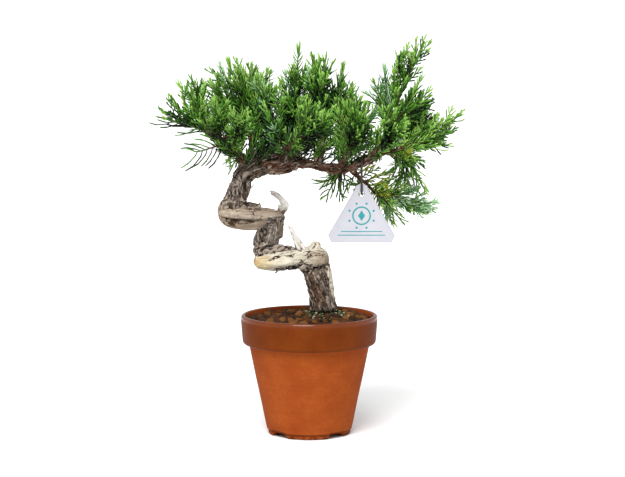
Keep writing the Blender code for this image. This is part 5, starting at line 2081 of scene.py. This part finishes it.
def buildTagPlate():
    low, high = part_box("tag_plate")
    x = (low.x + high.x) / 2
    bm = bmesh.new()
    slab(bm, tagOutline(low, high), low.y, high.y)
    plate = fromBmesh("tag_card", bm, smooth=False)
    bm = bmesh.new()
    slab(bm, circle(x, high.z - tag["holeDrop"], tag["holeRadius"], 40), low.y - 2 * mm, high.y + 2 * mm)
    cutter = fromBmesh("holeCutter", bm)
    boolean = plate.modifiers.new("hole", "BOOLEAN")
    boolean.object = cutter
    boolean.operation = "DIFFERENCE"
    bevel = plate.modifiers.new("edge", "BEVEL")
    bevel.width = tag["bevel"]
    bevel.segments = 2
    bevel.limit_method = "ANGLE"
    baked(plate)
    bpy.data.objects.remove(cutter)
    # side and bevel faces take the second material, a grey of painted shade
    edges = np.abs([face.normal.y for face in plate.data.polygons]) < 0.98
    plate.data.polygons.foreach_set("material_index", edges.astype(np.int32))
    coat = {"Coat Weight": 0.2, "Coat Roughness": 0.2}
    made, tree, shader = newMaterial("white plastic", paint(232, 232, 243), 0.35, fixed=coat)
    faint = mottle(objectPlace(tree), 14 * mm, 0.8)
    fill(shader, {"Base Color": mixColour(faint, paint(226, 226, 240), paint(238, 238, 246))})
    plate.data.materials.append(made)
    plate.data.materials.append(newMaterial("shaded plastic edge", paint(172, 168, 178), 0.45)[0])
    settle(plate, "tag", ["tag_plate"])


tagPrint = {
    "ringCentreDrop": 32 * mm,
    "ringRadius": 9.5 * mm,
    "ringWidth": 1.5 * mm,
    "ringSteps": 48,
    "lozenge": (3.6 * mm, 5.4 * mm),
    "dots": 8,
    "dotRadius": 1.15 * mm,
    "dotReach": 13.2 * mm,
    "lines": ((48.5 * mm, 21 * mm), (52.2 * mm, 24 * mm)),
    "lineHeight": 0.9 * mm,
}


def buildTagPrint():
    # a lozenge in a ring, with dots round it and two plain lines below
    low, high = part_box("tag_plate")
    x, front = (low.x + high.x) / 2, low.y
    shown = (front - tag["printDepth"], front + tag["printDepth"])
    centre = high.z - tagPrint["ringCentreDrop"]
    bm = bmesh.new()
    outer = circle(x, centre, tagPrint["ringRadius"], tagPrint["ringSteps"])
    inner = circle(x, centre, tagPrint["ringRadius"] - tagPrint["ringWidth"], tagPrint["ringSteps"])
    for i in range(tagPrint["ringSteps"]):
        after = (i + 1) % tagPrint["ringSteps"]
        slab(bm, [outer[i], outer[after], inner[after], inner[i]], *shown)
    wide, tall = tagPrint["lozenge"]
    slab(bm, [(x + wide, centre), (x, centre + tall), (x - wide, centre), (x, centre - tall)], *shown)
    for dotX, dotZ in circle(x, centre, tagPrint["dotReach"], 2 * tagPrint["dots"])[1::2]:
        slab(bm, circle(dotX, dotZ, tagPrint["dotRadius"], 16), *shown)
    for drop, half in tagPrint["lines"]:
        z = high.z - drop
        above = z + tagPrint["lineHeight"]
        slab(bm, [(x - half, z), (x + half, z), (x + half, above), (x - half, above)], *shown)
    bmesh.ops.remove_doubles(bm, verts=bm.verts, dist=0.001 * mm)
    piece = fromBmesh("tag_print", bm, smooth=False)
    piece.data.materials.append(newMaterial("teal ink", paint(40, 178, 182), 0.4)[0])
    settle(piece, "tag")


tie = {
    "thick": 1.2 * mm,
    "wide": (1.8 * mm, 2.5 * mm),  # over the bough, and at the tag
    "foot": 1.7 * mm,
    "corner": 0.3 * mm,
    "steps": 40,
}


def buildTie():
    # a flat strap that follows the CAD tie: a wide turn over the bough and a narrow one through the hole
    low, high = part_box("tag_tie")
    x, y = (low.x + high.x) / 2, (low.y + high.y) / 2
    half = tie["thick"] / 2
    loop = (high.y - low.y) / 2 - half
    top, foot = high.z - half - loop, low.z + half + tie["foot"]
    lean = math.asin((loop - tie["foot"]) / (top - foot))
    steps, leaves, meets = tie["steps"], math.pi + lean, 2 * math.pi - lean
    turns = [(top, loop, turn) for turn in np.linspace(-lean, leaves, steps)]
    turns += [(foot, tie["foot"], turn) for turn in np.linspace(leaves, meets, steps)]
    verts = []
    for z, radius, turn in turns:
        wide = tie["wide"][0] if z == top else tie["wide"][1]
        across, corner = wide / 2, tie["corner"]
        section = [(across - corner, half), (across, half - corner)]
        section += [(a, -b) for a, b in reversed(section)]
        section += [(-a, -b) for a, b in section]
        for a, b in section:
            reach = radius + b
            verts.append((x + a, y + reach * math.cos(turn), z + reach * math.sin(turn)))
    strap = newObject("tag_loop", verts, wall(len(turns), 8, closed=True), smooth=False)
    faceOut(strap)
    strap.data.materials.append(newMaterial("dark strap", paint(62, 52, 46), 0.55)[0])
    settle(strap, "tag", ["tag_tie"])


buildTagPlate()
buildTagPrint()
buildTie()


# Stage: a pale floor, a white room and one broad soft light.

studio = {
    "floorRadius": 400.0,
    "roomWhite": 0.82,
    "floorWhite": 0.72,
    "gloss": 0.42,  # how much dimmer the room is in reflections
    "sunStrength": 3.4,
    "sunAngle": 32,
    "exposure": 0.3,
}
cameraFit = {
    "place": (0.00327, -2.0, 0.4139),
    "downDegrees": 6.107,
    "lens": 113.88,
    "sensor": 36.0,
}


def buildStage():
    scene = bpy.context.scene
    rim = [(x, y, -0.0002) for x, y in circle(0, 0, studio["floorRadius"], 96)]
    floor = newObject("floor", rim, [tuple(range(len(rim)))], smooth=False)
    white = studio["floorWhite"]
    floor.data.materials.append(newMaterial("pale floor", (white, white, white, 1), 0.9, 0.1)[0])
    world = bpy.data.worlds.new("white room")
    world.use_nodes = True
    tree = world.node_tree
    rays = wire(tree, "ShaderNodeLightPath", {}, "Is Glossy Ray")
    room = (studio["roomWhite"],) * 3 + (1,)
    fill(tree.nodes["Background"], {0: room, 1: timesPlus(rays, -studio["gloss"], 1.0)})
    scene.world = world
    lamp = bpy.data.lights.new("soft key", "SUN")
    lamp.energy = studio["sunStrength"]
    lamp.angle = math.radians(studio["sunAngle"])
    linked("soft key", lamp).rotation_euler = Vector(lightFrom).to_track_quat("Z", "Y").to_euler()
    lens = bpy.data.cameras.new("camera")
    lens.sensor_width = cameraFit["sensor"]
    lens.lens = cameraFit["lens"]
    camera = linked("camera", lens)
    camera.location = cameraFit["place"]
    camera.rotation_euler = (math.radians(90 - cameraFit["downDegrees"]), 0, 0)
    scene.camera = camera
    scene.view_settings.view_transform = "Standard"
    scene.view_settings.exposure = studio["exposure"]
    print("stage set")


buildStage()
